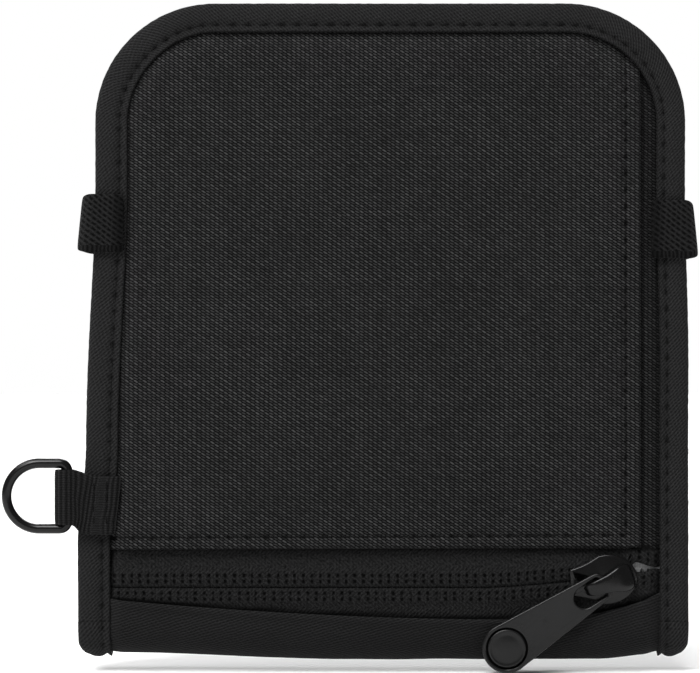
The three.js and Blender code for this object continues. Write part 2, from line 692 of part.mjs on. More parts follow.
const flat = (layer) => ({ ...layer, inset: STIFFENER_INSET });
const onBack = (layer, keep) => leafSheet({ side: BACK, ...layer, keep });
const onFront = (layer, keep) => leafSheet({ side: FRONT, ...layer, keep });

// The back leaf, outermost layer first, then the soft spine.
piece(backLeaf, "back_binding", leafBinding(BACK), tapeCloth);
piece(backLeaf, "back_shell", onBack(SHELL), shellCloth);
piece(backLeaf, "back_stiffener", onBack(flat(BACK_STIFFENER), { z0: STIFFENER_Z }), foam);
piece(backLeaf, "back_lining", onBack(BACK_LINING), greyLining);
piece(backLeaf, "passport_sleeve", onBack(SLEEVE, { z1: SLEEVE_TOP }), blackCloth);
piece(backLeaf, "spine_panel", spineTrough({ ...SHELL, bottomZ: 0 }), tapeCloth);
piece(backLeaf, "spine_lining", spineTrough({ ...BACK_LINING, bottomZ: SPINE_LINING_Z }), greyLining);
piece(backLeaf, "spine_binding_left", spineBinding(-1), tapeCloth);
piece(backLeaf, "spine_binding_right", spineBinding(1), tapeCloth);

// The front leaf, outermost layer first.
const slipPocket = { x1: POCKET_MOUTH_X, z0: POCKET_HEM_Z };
const upperTape = { z0: ZIP_Z + ZIP_GAP / 2, z1: TAPE_TOP };
const lowerTape = { z1: ZIP_Z - ZIP_GAP / 2 };
const coinFront = { z0: SHELL_HEM_Z, z1: COIN_POCKET_TOP };
const coinBack = { z0: COIN_POCKET_BOTTOM, z1: COIN_POCKET_TOP };
piece(frontLeaf, "front_binding", leafBinding(FRONT), tapeCloth);
piece(frontLeaf, "front_pocket_panel", onFront(SHELL, slipPocket), shellCloth);
piece(frontLeaf, "front_shell", onFront(BEHIND_POCKET, { z0: SHELL_HEM_Z }), shellCloth);
piece(frontLeaf, "front_lower_panel", lowerPanel(), tapeCloth);
piece(frontLeaf, "zipper_tape_upper", onFront(ZIP_TAPE, upperTape), tapeCloth);
piece(frontLeaf, "zipper_tape_lower", onFront(ZIP_TAPE, lowerTape), tapeCloth);
piece(frontLeaf, "zipper_coil_upper", coilRow(-1), tapeCloth);
piece(frontLeaf, "zipper_coil_lower", coilRow(1), tapeCloth);
piece(frontLeaf, "coin_lining_front", onFront(flat(COIN_LINING_FRONT), coinFront), greyLining);
piece(frontLeaf, "coin_lining_back", onFront(flat(COIN_LINING_BACK), coinBack), greyLining);
piece(frontLeaf, "front_stiffener", onFront(flat(FRONT_STIFFENER), { z0: STIFFENER_Z }), foam);
piece(frontLeaf, "front_lining", onFront(FRONT_LINING), greyLining);
for (const [name, depth, top] of CARD_SLOTS) {
  const near = [CARD_SLOT_X[0], -depth - CARD_SLOT_THICKNESS, CARD_SLOT_BOTTOM];
  piece(frontLeaf, name, boxBetween(near, [CARD_SLOT_X[1], -depth, top]), blackCloth);
}

// What moves on the front leaf.
piece(frontLeaf, "closure_band", closureBand(), blackCloth);
piece(frontLeaf, "slider_body", sliderBody(), blackMetal);
piece(frontLeaf, "slider_crown", sliderCrown(), blackMetal);
piece(frontLeaf, "zip_puller", zipPuller(), blackMetal);
piece(frontLeaf, "puller_badge", pullerBadge(), blackMetal);
piece(frontLeaf, "d_ring_webbing", webbingLoop(), tapeCloth);
piece(frontLeaf, "d_ring", dRing(), blackMetal);

export default wallet;
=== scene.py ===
"""A closed passport holder wallet standing on its spine: cloth, tape, zip and metal fittings built round
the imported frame. The building code works in millimetres; link_mesh() turns them into metres."""
import json
import math

import bpy
import numpy as np
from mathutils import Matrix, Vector


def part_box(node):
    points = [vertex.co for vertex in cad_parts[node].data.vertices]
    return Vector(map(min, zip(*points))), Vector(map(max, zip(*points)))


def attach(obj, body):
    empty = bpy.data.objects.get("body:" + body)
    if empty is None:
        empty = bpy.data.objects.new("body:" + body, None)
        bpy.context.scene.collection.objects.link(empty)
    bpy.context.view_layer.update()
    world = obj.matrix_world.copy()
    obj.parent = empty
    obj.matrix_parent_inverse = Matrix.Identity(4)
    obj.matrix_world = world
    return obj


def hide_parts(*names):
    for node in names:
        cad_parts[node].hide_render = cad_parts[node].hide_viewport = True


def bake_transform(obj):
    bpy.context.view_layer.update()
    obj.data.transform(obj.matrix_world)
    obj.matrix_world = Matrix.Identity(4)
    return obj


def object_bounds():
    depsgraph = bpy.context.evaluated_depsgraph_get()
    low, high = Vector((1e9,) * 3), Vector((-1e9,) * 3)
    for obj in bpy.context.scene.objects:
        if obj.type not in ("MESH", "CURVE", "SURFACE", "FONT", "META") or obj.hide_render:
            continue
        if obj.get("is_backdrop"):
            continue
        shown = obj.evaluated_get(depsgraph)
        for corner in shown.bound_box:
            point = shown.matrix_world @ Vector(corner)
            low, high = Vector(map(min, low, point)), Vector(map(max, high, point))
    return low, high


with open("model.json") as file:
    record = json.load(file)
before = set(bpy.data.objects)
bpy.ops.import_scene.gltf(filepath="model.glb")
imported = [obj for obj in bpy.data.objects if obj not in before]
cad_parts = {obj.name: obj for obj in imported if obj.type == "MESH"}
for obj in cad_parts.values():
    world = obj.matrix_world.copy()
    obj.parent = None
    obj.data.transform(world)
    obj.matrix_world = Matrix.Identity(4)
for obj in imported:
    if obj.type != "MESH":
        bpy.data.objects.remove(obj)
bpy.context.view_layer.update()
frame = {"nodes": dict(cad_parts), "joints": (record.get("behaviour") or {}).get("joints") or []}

MM = 0.001
UV_NAME = "cloth"  # every mesh built here has this UV map, in millimetres
PAINTED_SHADE_NAME = "shade"  # painted shade: how dark a stitch hole, crease or shadowed spot is drawn, from 0 to 1
FRONT, BACK = -1, 1  # which way a leaf's outer face looks along Y
QUARTER = math.pi / 2
THINNEST = 1e-3  # what is left of a sheet's thickness at a folded edge


# ---- numbers and points -------------------------------------------------------------------------
def box_mm(node):
    low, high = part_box(node)
    return np.array(low) / MM, np.array(high) / MM


def smooth(value, start, end):
    t = np.clip((np.asarray(value, float) - start) / (end - start), 0, 1)
    return t * t * (3 - 2 * t)


def lerp(a, b, t):
    """Between a and b, which can be numbers, arrays or node outputs."""
    return a + (b - a) * t


def bell(value, centre, width):
    return np.exp(-(((value - centre) / width) ** 2))


def beat(value, pitch):
    """1 at every whole pitch and -1 half way between."""
    return np.cos(2 * np.pi * value / pitch)


def stack(*parts):
    """Numbers and arrays side by side, as the last axis of points or UVs."""
    return np.stack(np.broadcast_arrays(*parts), axis=-1)


def unit(vectors):
    return vectors / np.linalg.norm(vectors, axis=-1, keepdims=True)


def run_lengths(points):
    """How far along its line each point is; the lines run down the first axis."""
    steps = np.linalg.norm(np.diff(points, axis=0), axis=-1)
    return np.concatenate([0 * steps[:1], np.cumsum(steps, axis=0)])


def arc(x, y, radius, start, end, count):
    angle = np.linspace(start, end, count)
    return stack(x + radius * np.cos(angle), y + radius * np.sin(angle))


def loop_directions(loop):
    return unit(np.roll(loop, -1, axis=0) - np.roll(loop, 1, axis=0))


def ripple(u, v, size, seed, terms=7):
    """A soft random swell of about -1 to 1; size is its wavelength."""
    draw = np.random.default_rng(seed)
    total = 0.0
    for _ in range(terms):
        angle, phase, stretch = (draw.uniform(*span) for span in ((0, 2 * np.pi), (0, 2 * np.pi), (0.7, 1.6)))
        total = total + np.sin((u * np.cos(angle) + v * np.sin(angle)) * 2 * np.pi / (size * stretch) + phase)
    return total * 1.5 / terms


def graded(start, end, step, fine=()):
    """Positions from start to end, a step apart, and closer round each (place, reach, fine step)."""
    places = list(np.linspace(start, end, max(2, round((end - start) / step) + 1)))
    for place, reach, fine_step in fine:
        places += list(np.arange(place - reach, place + reach + fine_step / 2, fine_step))
    places = sorted(p for p in places if start <= p <= end)
    kept = [places[0]]
    for p in places[1:]:
        if p - kept[-1] > 0.12:
            kept.append(p)
    kept[-1] = end
    return np.array(kept)


# ---- the leaf's outline, from the frame ----------------------------------------------------------
BINDING_LOW, BINDING_HIGH = box_mm("front_binding")
LEFT, RIGHT, TOP = BINDING_LOW[0], BINDING_HIGH[0] + 0.5, BINDING_HIGH[2]
RIM_OUTER, RIM_INNER = -BINDING_LOW[1], -BINDING_HIGH[1] - 0.3
SHELL_OUTER = -box_mm("front_pocket_panel")[0][1]
TAPE_OUTER = -box_mm("zipper_tape_upper")[0][1]
FOLD_Z = box_mm("spine_panel")[1][2]
LEFT_LEAN, LEFT_FLARE, RIGHT_LEAN = 1.9, 1.7, 0.7
CORNER_R = 25.5
BINDING_WIDTH = 6.4
TAPE_THICKNESS = 0.7
SEAM_INSET = 1.8  # how far inside the edge the cloth ends, under the binding
CLOTH_TOP = TOP - SEAM_INSET
SPINE_STRETCH = 1.28
EDGE_STEP = 0.62


def left_edge(z):
    return LEFT + LEFT_FLARE * smooth(z, 24, 45) + LEFT_LEAN * smooth(z, 45, 100)


def right_edge(z):
    return RIGHT - RIGHT_LEAN * smooth(z, 60, 100)


def corner_centres():
    z = TOP - CORNER_R
    return left_edge(z) + CORNER_R, right_edge(z) - CORNER_R, z


def row_ends(z, inset=SEAM_INSET):
    """Where the leaf's outline, moved in by inset, crosses each height: (left, right)."""
    left_x, right_x, corner_z = corner_centres()
    rise = np.clip(z - corner_z, 0, None)
    reach = np.sqrt(np.clip((CORNER_R - inset) ** 2 - rise**2, 0, None))
    left = np.where(z > corner_z, left_x - reach, left_edge(z) + inset)
    right = np.where(z > corner_z, right_x + reach, right_edge(z) - inset)
    return left, right


def edge_distance(x, z):
    """How far in from the leaf's outline a point is."""
    left_x, right_x, corner_z = corner_centres()
    side = np.minimum(x - left_edge(z), right_edge(z) - x)
    off_x = np.maximum(left_x - x, x - right_x)
    in_corner = (off_x > 0) & (z > corner_z)
    return np.where(in_corner, CORNER_R - np.hypot(off_x, z - corner_z), np.minimum(side, TOP - z))


def pinched(x, z, at_rim, inside, start=6.0, end=9.0):
    """A depth that is at_rim under the binding and goes over to inside away from it."""
    return lerp(at_rim, inside, smooth(edge_distance(x, z), start, end))


def binding_width_at(x):
    """The binding is a little wider along the left edge."""
    return BINDING_WIDTH * lerp(1.09, 0.97, smooth(x, -58, -38))


def edge_line():
    """The outline from the spine's left end over the top to its right end, as points, inward normals and
    lengths."""
    left_x, right_x, corner_z = corner_centres()
    up = graded(FOLD_Z, corner_z, EDGE_STEP)
    count = round(CORNER_R * QUARTER / EDGE_STEP)
    points = np.concatenate([
        stack(left_edge(up), up),
        arc(left_x, corner_z, CORNER_R, math.pi, QUARTER, count)[1:],
        stack(graded(left_x, right_x, EDGE_STEP)[1:], TOP),
        arc(right_x, corner_z, CORNER_R, QUARTER, 0, count)[1:],
        stack(right_edge(up), up)[-2::-1],
    ])
    along = unit(np.gradient(points, axis=0))
    return points, stack(along[:, 1], -along[:, 0]), run_lengths(points)


def leaf_heights(low, step, fine=()):
    """Heights of a panel's rows; the last one stays just short of the seam at the top."""
    return np.append(graded(low, CLOTH_TOP, step, fine)[:-1], CLOTH_TOP - 0.02)


def leaf_grid(z, columns):
    """Rows of points from edge to edge of the leaf: x and z."""
    left, right = (end[:, None] for end in row_ends(z))
    return np.broadcast_arrays(lerp(left, right, np.linspace(0, 1, columns)), z[:, None])


# ---- meshes -------------------------------------------------------------------------------------
def link(name, data):
    thing = bpy.data.objects.new(name, data)
    bpy.context.scene.collection.objects.link(thing)
    return thing


def signed_volume(points, faces):
    total = 0.0
    for size in {len(f) for f in faces}:
        loop = points[np.array([f for f in faces if len(f) == size])]
        for i in range(1, size - 1):
            total += np.einsum("ij,ij->i", loop[:, 0], np.cross(loop[:, i], loop[:, i + 1])).sum()
    return total


def set_shade(mesh, shade):
    attribute = mesh.attributes.new(PAINTED_SHADE_NAME, "FLOAT", "POINT")
    attribute.data.foreach_set("value", np.clip(shade, 0, 1).astype(np.float32).ravel())


def link_mesh(name, points, faces, uv, material, shade=None):
    """An object from points in mm, faces as lists of point numbers, and one UV for each face corner.
    shade, if given, is painted shade that darkens the material at each point: 0 for none, 1 for the bottom of
    a stitch hole."""
    points = np.asarray(points, float).reshape(-1, 3)
    faces = [list(f) for f in faces]
    uv = [np.asarray(c, float) for c in uv]
    if signed_volume(points, faces) < 0:
        faces = [f[::-1] for f in faces]
        uv = [c[::-1] for c in uv]
    mesh = bpy.data.meshes.new(name)
    mesh.from_pydata((points * MM).tolist(), [], faces)
    layer = mesh.uv_layers.new(name=UV_NAME)
    layer.data.foreach_set("uv", np.concatenate(uv).astype(np.float32).ravel())
    mesh.polygons.foreach_set("use_smooth", np.full(len(faces), True))
    if shade is not None:
        set_shade(mesh, shade)
    mesh.materials.append(material)
    mesh.update()
    return link(name, mesh)


def lattice_faces(rows, columns, wrap=False):
    """Quads over a grid of rows x columns points, and the (row, column) of each corner for its UV."""
    r, c = np.meshgrid(np.arange(rows - 1), np.arange(columns if wrap else columns - 1), indexing="ij")
    r, c = r.ravel(), c.ravel()
    corners = np.stack([stack(r, c), stack(r, c + 1), stack(r + 1, c + 1), stack(r + 1, c)], axis=1)
    return corners[..., 0] * columns + corners[..., 1] % columns, corners


def slab(name, outer, inner, uv, material, shade=None):
    """A closed sheet between two grids of points, rows x columns x 3."""
    rows, columns = outer.shape[:2]
    count = rows * columns
    quads, corners = lattice_faces(rows, columns)
    quad_uv = uv[corners[..., 0], corners[..., 1]]
    faces = [*quads, *(quads[:, ::-1] + count)]
    face_uv = [*quad_uv, *quad_uv[:, ::-1]]
    grid, flat_uv = np.arange(count).reshape(rows, columns), uv.reshape(-1, 2)
    rim = np.concatenate([grid[0], grid[1:, -1], grid[-1, -2::-1], grid[-2:0:-1, 0]])
    for a, b in zip(rim, np.roll(rim, -1)):
        faces.append([b, a, a + count, b + count])
        face_uv.append(flat_uv[[b, a, a, b]])
    points = np.concatenate([outer.reshape(-1, 3), inner.reshape(-1, 3)])
    shade = None if shade is None else np.stack([shade, shade])
    return link_mesh(name, points, faces, face_uv, material, shade)


def with_support(rings):
    """Adds a ring close to each end, so that smooth shading stays clear of the caps."""
    first, last = lerp(rings[0], rings[1], 0.05), lerp(rings[-1], rings[-2], 0.05)
    return np.concatenate([rings[:1], first[None], rings[1:-1], last[None], rings[-1:]])


def tube(name, rings, uv, material, closed=False, shade=None):
    """Rings of points, rings x points x 3, joined into one skin; uv has one more column than each ring."""
    if not closed:
        rings, uv = with_support(rings), with_support(uv)
        shade = None if shade is None else with_support(shade)
    count, around = rings.shape[:2]
    faces, corners = lattice_faces(count, around, wrap=True)
    face_uv = [*uv[corners[..., 0], corners[..., 1]]]
    faces = [*faces]
    last = (count - 1) * around
    if closed:
        for i in range(around):
            n = (i + 1) % around
            faces.append([last + i, last + n, n, i])
            face_uv.append([uv[-1, i], uv[-1, i + 1], uv[0, i + 1], uv[0, i]])
    else:
        faces += [range(around)[::-1], range(last, last + around)]
        face_uv += [uv[0, :around][::-1], uv[-1, :around]]
    return link_mesh(name, rings, faces, face_uv, material, shade)


def joined(name, groups, material):
    """Many small tubes of the same size (rings x points x 3 each) as one piece, such as a row of stitches."""
    count, rings, around = groups.shape[:3]
    quads, _ = lattice_faces(rings, around, wrap=True)
    size, cap = rings * around, np.arange(around)
    faces = []
    for start in range(0, count * size, size):
        faces += [*(quads + start), cap[::-1] + start, cap + start + size - around]
    flat = groups.reshape(-1, 3)
    return link_mesh(name, flat, faces, [flat[f][:, [0, 2]] for f in faces], material)


def rings_round(centres, across, up, half_across, half_up, sides, power=1.0):
    """A loop of points round each centre, in the plane of across and up: an ellipse, or a squarer loop
    when power is below 1."""
    angle = np.linspace(0, 2 * np.pi, sides, endpoint=False)

    def spokes(share, half, direction):
        share = np.sign(share) * np.abs(share) ** power
        return (share * np.reshape(half, (-1, 1)))[..., None] * np.reshape(direction, (-1, 1, 3))

    return centres[:, None] + spokes(np.cos(angle), half_across, across) + spokes(np.sin(angle), half_up, up)


# ---- node graphs --------------------------------------------------------------------------------
class Signal:
    """A node's output. The signs + - * / and ** each add a Math node."""

    def __init__(self, graph, socket):
        self.graph, self.socket = graph, socket


def sign_method(operation, swapped):
    def apply(self, other):
        return self.graph.math(operation, *((other, self) if swapped else (self, other)))

    return apply


for sign, operation in dict(add="ADD", sub="SUBTRACT", mul="MULTIPLY", truediv="DIVIDE", pow="POWER").items():
    setattr(Signal, f"__{sign}__", sign_method(operation, False))
    setattr(Signal, f"__r{sign}__", sign_method(operation, True))


class Graph:
    """A material's node tree, with its Principled shader and short calls for the nodes used here."""

    def __init__(self, name, slot, mapped=True):
        self.material = bpy.data.materials.new(name)
        self.material.use_nodes = True
        self.material["slot"] = slot
        self.tree = self.material.node_tree
        self.shader = self.tree.nodes["Principled BSDF"]
        if mapped:
            self.uv = self.node("ShaderNodeUVMap", "UV", uv_map=UV_NAME)
        else:
            place = self.object_place()
            self.uv = self.vector(self.part(place, 0) / MM, self.part(place, 2) / MM)

    def feed(self, socket, value):
        if isinstance(value, Signal):
            self.tree.links.new(value.socket, socket)
        else:
            socket.default_value = (*value, 1) if isinstance(value, tuple) else value

    def node(self, kind, output, inputs=(), **settings):
        """Adds a node, feeds its inputs by name or number, and hands back one of its outputs."""
        node = self.tree.nodes.new(kind)
        for key, value in settings.items():
            setattr(node, key, value)
        for key, value in dict(inputs).items():
            self.feed(node.inputs[key], value)
        return Signal(self, node.outputs[output])

    def math(self, operation, *values):
        return self.node("ShaderNodeMath", 0, enumerate(values), operation=operation)

    def object_place(self):
        return self.node("ShaderNodeTexCoord", "Object")

    def part(self, vector, number):
        return self.node("ShaderNodeSeparateXYZ", number, {0: vector})

    def vector(self, *values):
        return self.node("ShaderNodeCombineXYZ", 0, enumerate(values))

    def axes(self, turn=0.0):
        """The UV in millimetres as two numbers, turned by an angle in degrees."""
        u, v = self.part(self.uv, 0), self.part(self.uv, 1)
        if not turn:
            return u, v
        c, s = math.cos(math.radians(turn)), math.sin(math.radians(turn))
        return u * c + v * s, v * c - u * s

    def wave(self, value, pitch, sharp=1.0):
        """0 to 1 and back once in each pitch; a higher sharp gives narrower crests."""
        lifted = self.math("SINE", value * (2 * math.pi / pitch)) * 0.5 + 0.5
        return lifted if sharp == 1.0 else lifted**sharp

    def noise(self, vector, scale, detail=2.0, roughness=0.5):
        inputs = {"Vector": vector, "Scale": scale, "Detail": detail, "Roughness": roughness}
        return self.node("ShaderNodeTexNoise", "Fac", inputs)

    def random(self, *place):
        return self.node(
            "ShaderNodeTexWhiteNoise", "Value", {"Vector": self.vector(*place)}, noise_dimensions="3D"
        )

    def above_zero(self, value):
        return self.math("MAXIMUM", value, 0.0)

    def mix(self, share, a, b):
        """Between two colours."""
        return self.node("ShaderNodeMix", "Result", {"Factor": share, "A": a, "B": b}, data_type="RGBA")

    def bump(self, height, millimetres):
        return self.node("ShaderNodeBump", "Normal", {"Height": height, "Distance": millimetres * MM})

    def shade(self):
        """The painted shade the mesh gives each spot: how dark its stitch holes, creases and shadowed strips
        are drawn.
        """
        return self.node("ShaderNodeAttribute", "Fac", attribute_name=PAINTED_SHADE_NAME)

    def finish(self, colour, roughness, height, relief, **extra):
        """Sets the shader and hands back the material; the colour is darkened by the mesh's painted shade."""
        colour = self.mix(self.shade() * 0.93, colour, (0.0, 0.0, 0.0))
        inputs = {"Base Color": colour, "Roughness": roughness, "Normal": self.bump(height, relief), **extra}
        for key, value in inputs.items():
            self.feed(self.shader.inputs[key.replace("_", " ")], value)
        return self.material

    # In each fabric below, lit follows the thread relief: crests painted lighter and gaps painted darker, as
    # painted light and shade, mixed with random tone.
    def cloth(self, lit, dark, light, roughness, height, relief, sheen=0.025):
        return self.finish(
            self.mix(lit, grey(dark), grey(light)), roughness, height, relief,
            Sheen_Weight=sheen, Sheen_Roughness=0.5, Specular_IOR_Level=CLOTH_SPECULAR,
        )


CLOTH_SPECULAR = 0.04


def grey(value):
    return (value, value, value * 1.01)


def plain_weave(name, slot, dark, light, pitch, relief, slant=0.0, sheen=0.025, warp=1.0, mapped=True):
    """Weft over warp and warp over weft in turn, each thread with its own shade, as in pack cloth.
    pitch is the width of a warp thread and of a weft thread; slant tips the weft; warp dims the warp."""
    g = Graph(name, slot, mapped)
    u, v = g.axes()
    wobble = g.noise(g.uv, 0.3, 3)
    u, v = u / pitch[0] + wobble * 0.45, v / pitch[1] - wobble * 0.6
    cell_u, cell_v = g.math("FLOOR", u), g.math("FLOOR", v)
    along, across = g.math("FRACT", u) - 0.5, g.math("FRACT", v) - 0.5
    is_weft = g.math("PINGPONG", cell_u + cell_v, 1.0)

    def hump(value, reach, power):
        return g.above_zero(g.math("COSINE", value * (math.pi * reach))) ** power

    weft = hump(along, 0.62, 1.0) * hump(across + along * slant, 0.95, 0.9)
    over = hump(along + across * slant, 1.0, 1.0) * hump(across, 0.9, 0.7)
    height = lerp(over * warp, weft, is_weft)
    fibre_u, fibre_v = (g.noise(g.vector(u * a, v * b), 1.0) for a, b in ((7.0, 1.2), (1.2, 7.0)))
    fibre = lerp(fibre_u, fibre_v, is_weft)
    thread = lerp(g.random(cell_u, 3.0), g.random(7.0, cell_v), is_weft)
    spot, patch = g.random(cell_u, cell_v, 1.0), g.noise(g.uv, 0.05, 3)
    # Painted light and shade: the crests of the threads are lighter and the gaps between them darker.
    lit = height**1.3 * lerp(0.65, 1.15, spot) * lerp(0.5, 1.4, fibre)
    lit = lit * lerp(0.85, 1.1, thread) * lerp(0.75, 1.25, patch)
    return g.cloth(lit, dark, light, lerp(0.95, 0.65, height), height + fibre * 0.25, relief, sheen)


def twill(name, slot, dark, light, pitch, turn, relief=0.1, cross=0.3):
    """Fine slanted ribs crossed by the threads that bind them, as in tape."""
    g = Graph(name, slot)
    along, across = g.axes(turn)
    rib = g.wave(across + g.noise(g.uv, 0.4) * (pitch * 0.7), pitch)
    bind = g.wave(along + g.math("FLOOR", across / pitch) * (pitch * 0.5), pitch * 1.5)
    height = lerp(rib, bind, cross)
    fuzz, patch = g.noise(g.uv, 3.0, 4, 0.75), g.noise(g.uv, 0.06, 3)
    # Painted shade in the grooves between the ribs.
    lit = lerp(0.22, 1.0, height**1.2) * g.above_zero(lerp(-0.7, 2.5, fuzz)) * lerp(0.75, 1.2, patch)
    return g.cloth(lit, dark, light, lerp(0.95, 0.75, height), height + fuzz * 0.5, relief)


def herringbone(name, slot, dark, light, pitch, stripe, relief=0.14):
    """Slanted ribs that change direction from stripe to stripe over fine upright threads, as in zip tape."""
    g = Graph(name, slot)
    u, v = g.axes()
    slanted = u + g.math("PINGPONG", v, stripe) * 1.1
    height = lerp(g.wave(slanted + g.noise(g.uv, 0.7) * (pitch * 0.8), pitch), g.wave(u, 0.69), 0.35)
    fuzz = g.noise(g.uv, 1.7, 4, 0.8)
    # Painted shade in the grooves between the ribs.
    lit = lerp(0.4, 1.0, height) * g.above_zero(lerp(-1.5, 3.2, fuzz))
    return g.cloth(lit, dark, light, 0.9, height + fuzz * 0.5, relief)


def ribbed(name, slot, dark, light, relief=0.08):
    """Fine cross threads over ribs that are already in the mesh and in its painted shade."""
    g = Graph(name, slot)
    cross = g.wave(g.axes()[1] + g.noise(g.uv, 1.2) * 0.5, 0.5)
    fuzz = g.noise(g.uv, 4.0, 3, 0.7)
    # Painted shade between the cross threads, times random tone.
    lit = lerp(0.45, 1.0, cross) * lerp(0.4, 1.5, fuzz)
    return g.cloth(lit, dark, light, 0.9, cross + fuzz * 0.7, relief)


def elastic_weave(name, slot, dark, light, relief=0.3):
    """Chunky slanted weave whose short gaps are painted black as shade, and a ribbed selvedge along the lower
    side.
    """
    g = Graph(name, slot)
    along, across = g.axes()
    wobble = g.noise(g.uv, 0.8) * 0.5
    u, v = g.axes(-38)
    v = v + wobble
    rib = g.wave(v, 0.95, 0.6)
    bind = g.wave(u + g.math("FLOOR", v / 0.95) * 0.66, 1.32, 1.3)
    middle = g.math("MAXIMUM", rib * 0.85, bind * 0.8) * lerp(0.65, 1.0, rib)
    selvedge = lerp(0.3, 1.0, g.wave(along + wobble, 0.8)) * 0.6
    height = lerp(middle, selvedge, g.math("LESS_THAN", across, -4.7))
    fuzz = g.noise(g.uv, 4.0, 3, 0.7)
    # Painted shade in the gaps of the weave, painted light on its crests.
    return g.cloth(height**1.5 * lerp(0.35, 1.5, fuzz), dark, light, 0.9, height + fuzz * 0.4, relief)


def twisted_thread(name, slot, dark, light):
    g = Graph(name, slot)
    ply = g.wave(g.axes(35)[0], 0.35)
    # Painted shade in the grooves between the plies.
    colour = g.mix(ply * g.noise(g.uv, 3.0), grey(dark), grey(light))
    return g.finish(colour, 0.8, ply, 0.05, Specular_IOR_Level=CLOTH_SPECULAR)


def painted_black(name, slot, base, rough, specular):
    """Painted metal: faint orange peel, fine scuffs, and a little less shine on the scuffed spots."""
    g = Graph(name, slot)
    place = g.object_place()
    scuff = g.noise(place, 260.0, 4, 0.7)
    worn = g.math("GREATER_THAN", scuff, 0.62) * 0.1
    colour = g.mix(g.noise(place, 120.0), grey(base * 0.8), grey(base * 1.25))
    # The mesh's painted shade also dims the reflection, as painted shade in recesses.
    return g.finish(
        colour, lerp(rough * 0.8, rough * 1.25, scuff) + worn, g.noise(place, 900.0), 0.006,
        Specular_IOR_Level=lerp(specular, specular * 0.1, g.shade()),
    )


CLOTH = plain_weave("pack_cloth", "shell_cloth", 0.0012, 0.043, (0.96, 0.62), 0.2, slant=1.0, warp=0.68)
BINDING = twill("binding_twill", "binding_tape", 0.002, 0.021, 0.6, -45)
LOWER = twill("lower_twill", "binding_tape", 0.0015, 0.016, 0.6, 17)
ZIP_TAPE = herringbone("zip_herringbone", "zipper_tape", 0.0008, 0.0145, 0.95, 2.2)
WEBBING = ribbed("ribbed_webbing", "webbing", 0.001, 0.0165)
ELASTIC = elastic_weave("woven_elastic", "elastic", 0.0002, 0.017)
THREAD = twisted_thread("sewing_thread", "binding_tape", 0.002, 0.014)
LINING = plain_weave("grey_lining", "lining", 0.2, 0.55, (0.34, 0.3), 0.05, sheen=0.1)
POCKET = plain_weave("pocket_cloth", "pocket_cloth", 0.006, 0.04, (0.4, 0.36), 0.06)
HIDDEN_LINING = plain_weave("hidden_lining", "lining", 0.2, 0.55, (0.34, 0.3), 0.05, mapped=False)
PADDING = plain_weave("padding_foam", "padding", 0.1, 0.25, (0.6, 0.6), 0.1, mapped=False)
COIL = painted_black("nylon_coil", "zipper_coil", 0.01, 0.45, 0.3)
METAL = painted_black("black_metal", "black_metal", 0.003, 0.22, 0.22)
PULL_METAL = painted_black("puller_metal", "black_metal", 0.0065, 0.24, 0.2)


# ---- where a piece belongs ------------------------------------------------------------------------
def stand_for(piece, *nodes):
    """Stands for CAD nodes by hiding them."""
    if nodes:
        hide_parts(*nodes)


def settle(piece, body, *nodes):
    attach(piece, body)
    stand_for(piece, *nodes)
    return piece


def bend_at_spine(piece, *nodes):
    stand_for(piece, *nodes)
    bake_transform(piece)


def stitch_row(name, path, side, pitch, length, radius, body, lift=0.06):
    """Thread segments along a line of points, each diving into the cloth at both ends; they lie on the
    side of the cloth that looks along +Y or -Y."""
    lengths = run_lengths(path)
    share = np.linspace(-0.5, 0.5, 7)
    at = (np.arange(int(lengths[-1] // pitch))[:, None] + 0.5) * pitch + share * length
    centre = stack(*(np.interp(at, lengths, path[:, k]) for k in range(3)))
    up = np.array([0, float(side), 0])
    across = np.cross(unit(np.gradient(centre, axis=1)), up)
    dive = lift - (2 * share) ** 4 * (lift + radius * 1.6)
    turn = np.linspace(0, 2 * np.pi, 6, endpoint=False)[:, None]
    ring = np.cos(turn) * across[:, :, None] + np.sin(turn) * up
    centre = centre + up * dive[:, None]
    settle(joined(name, centre[:, :, None] + ring * radius, THREAD), body)


# ---- padding: a small cloth simulation for how the panels swell ----------------------------------
SWELL_ROWS, SWELL_COLUMNS, SWELL_FRAMES = 44, 42, 20
SWELL_CLOTH = dict(
    quality=5, mass=0.2, tension_stiffness=25, compression_stiffness=25, bending_stiffness=2.0,
    vertex_group_mass="held", shrink_min=-0.012, use_pressure=True, uniform_pressure_force=3.0,
)


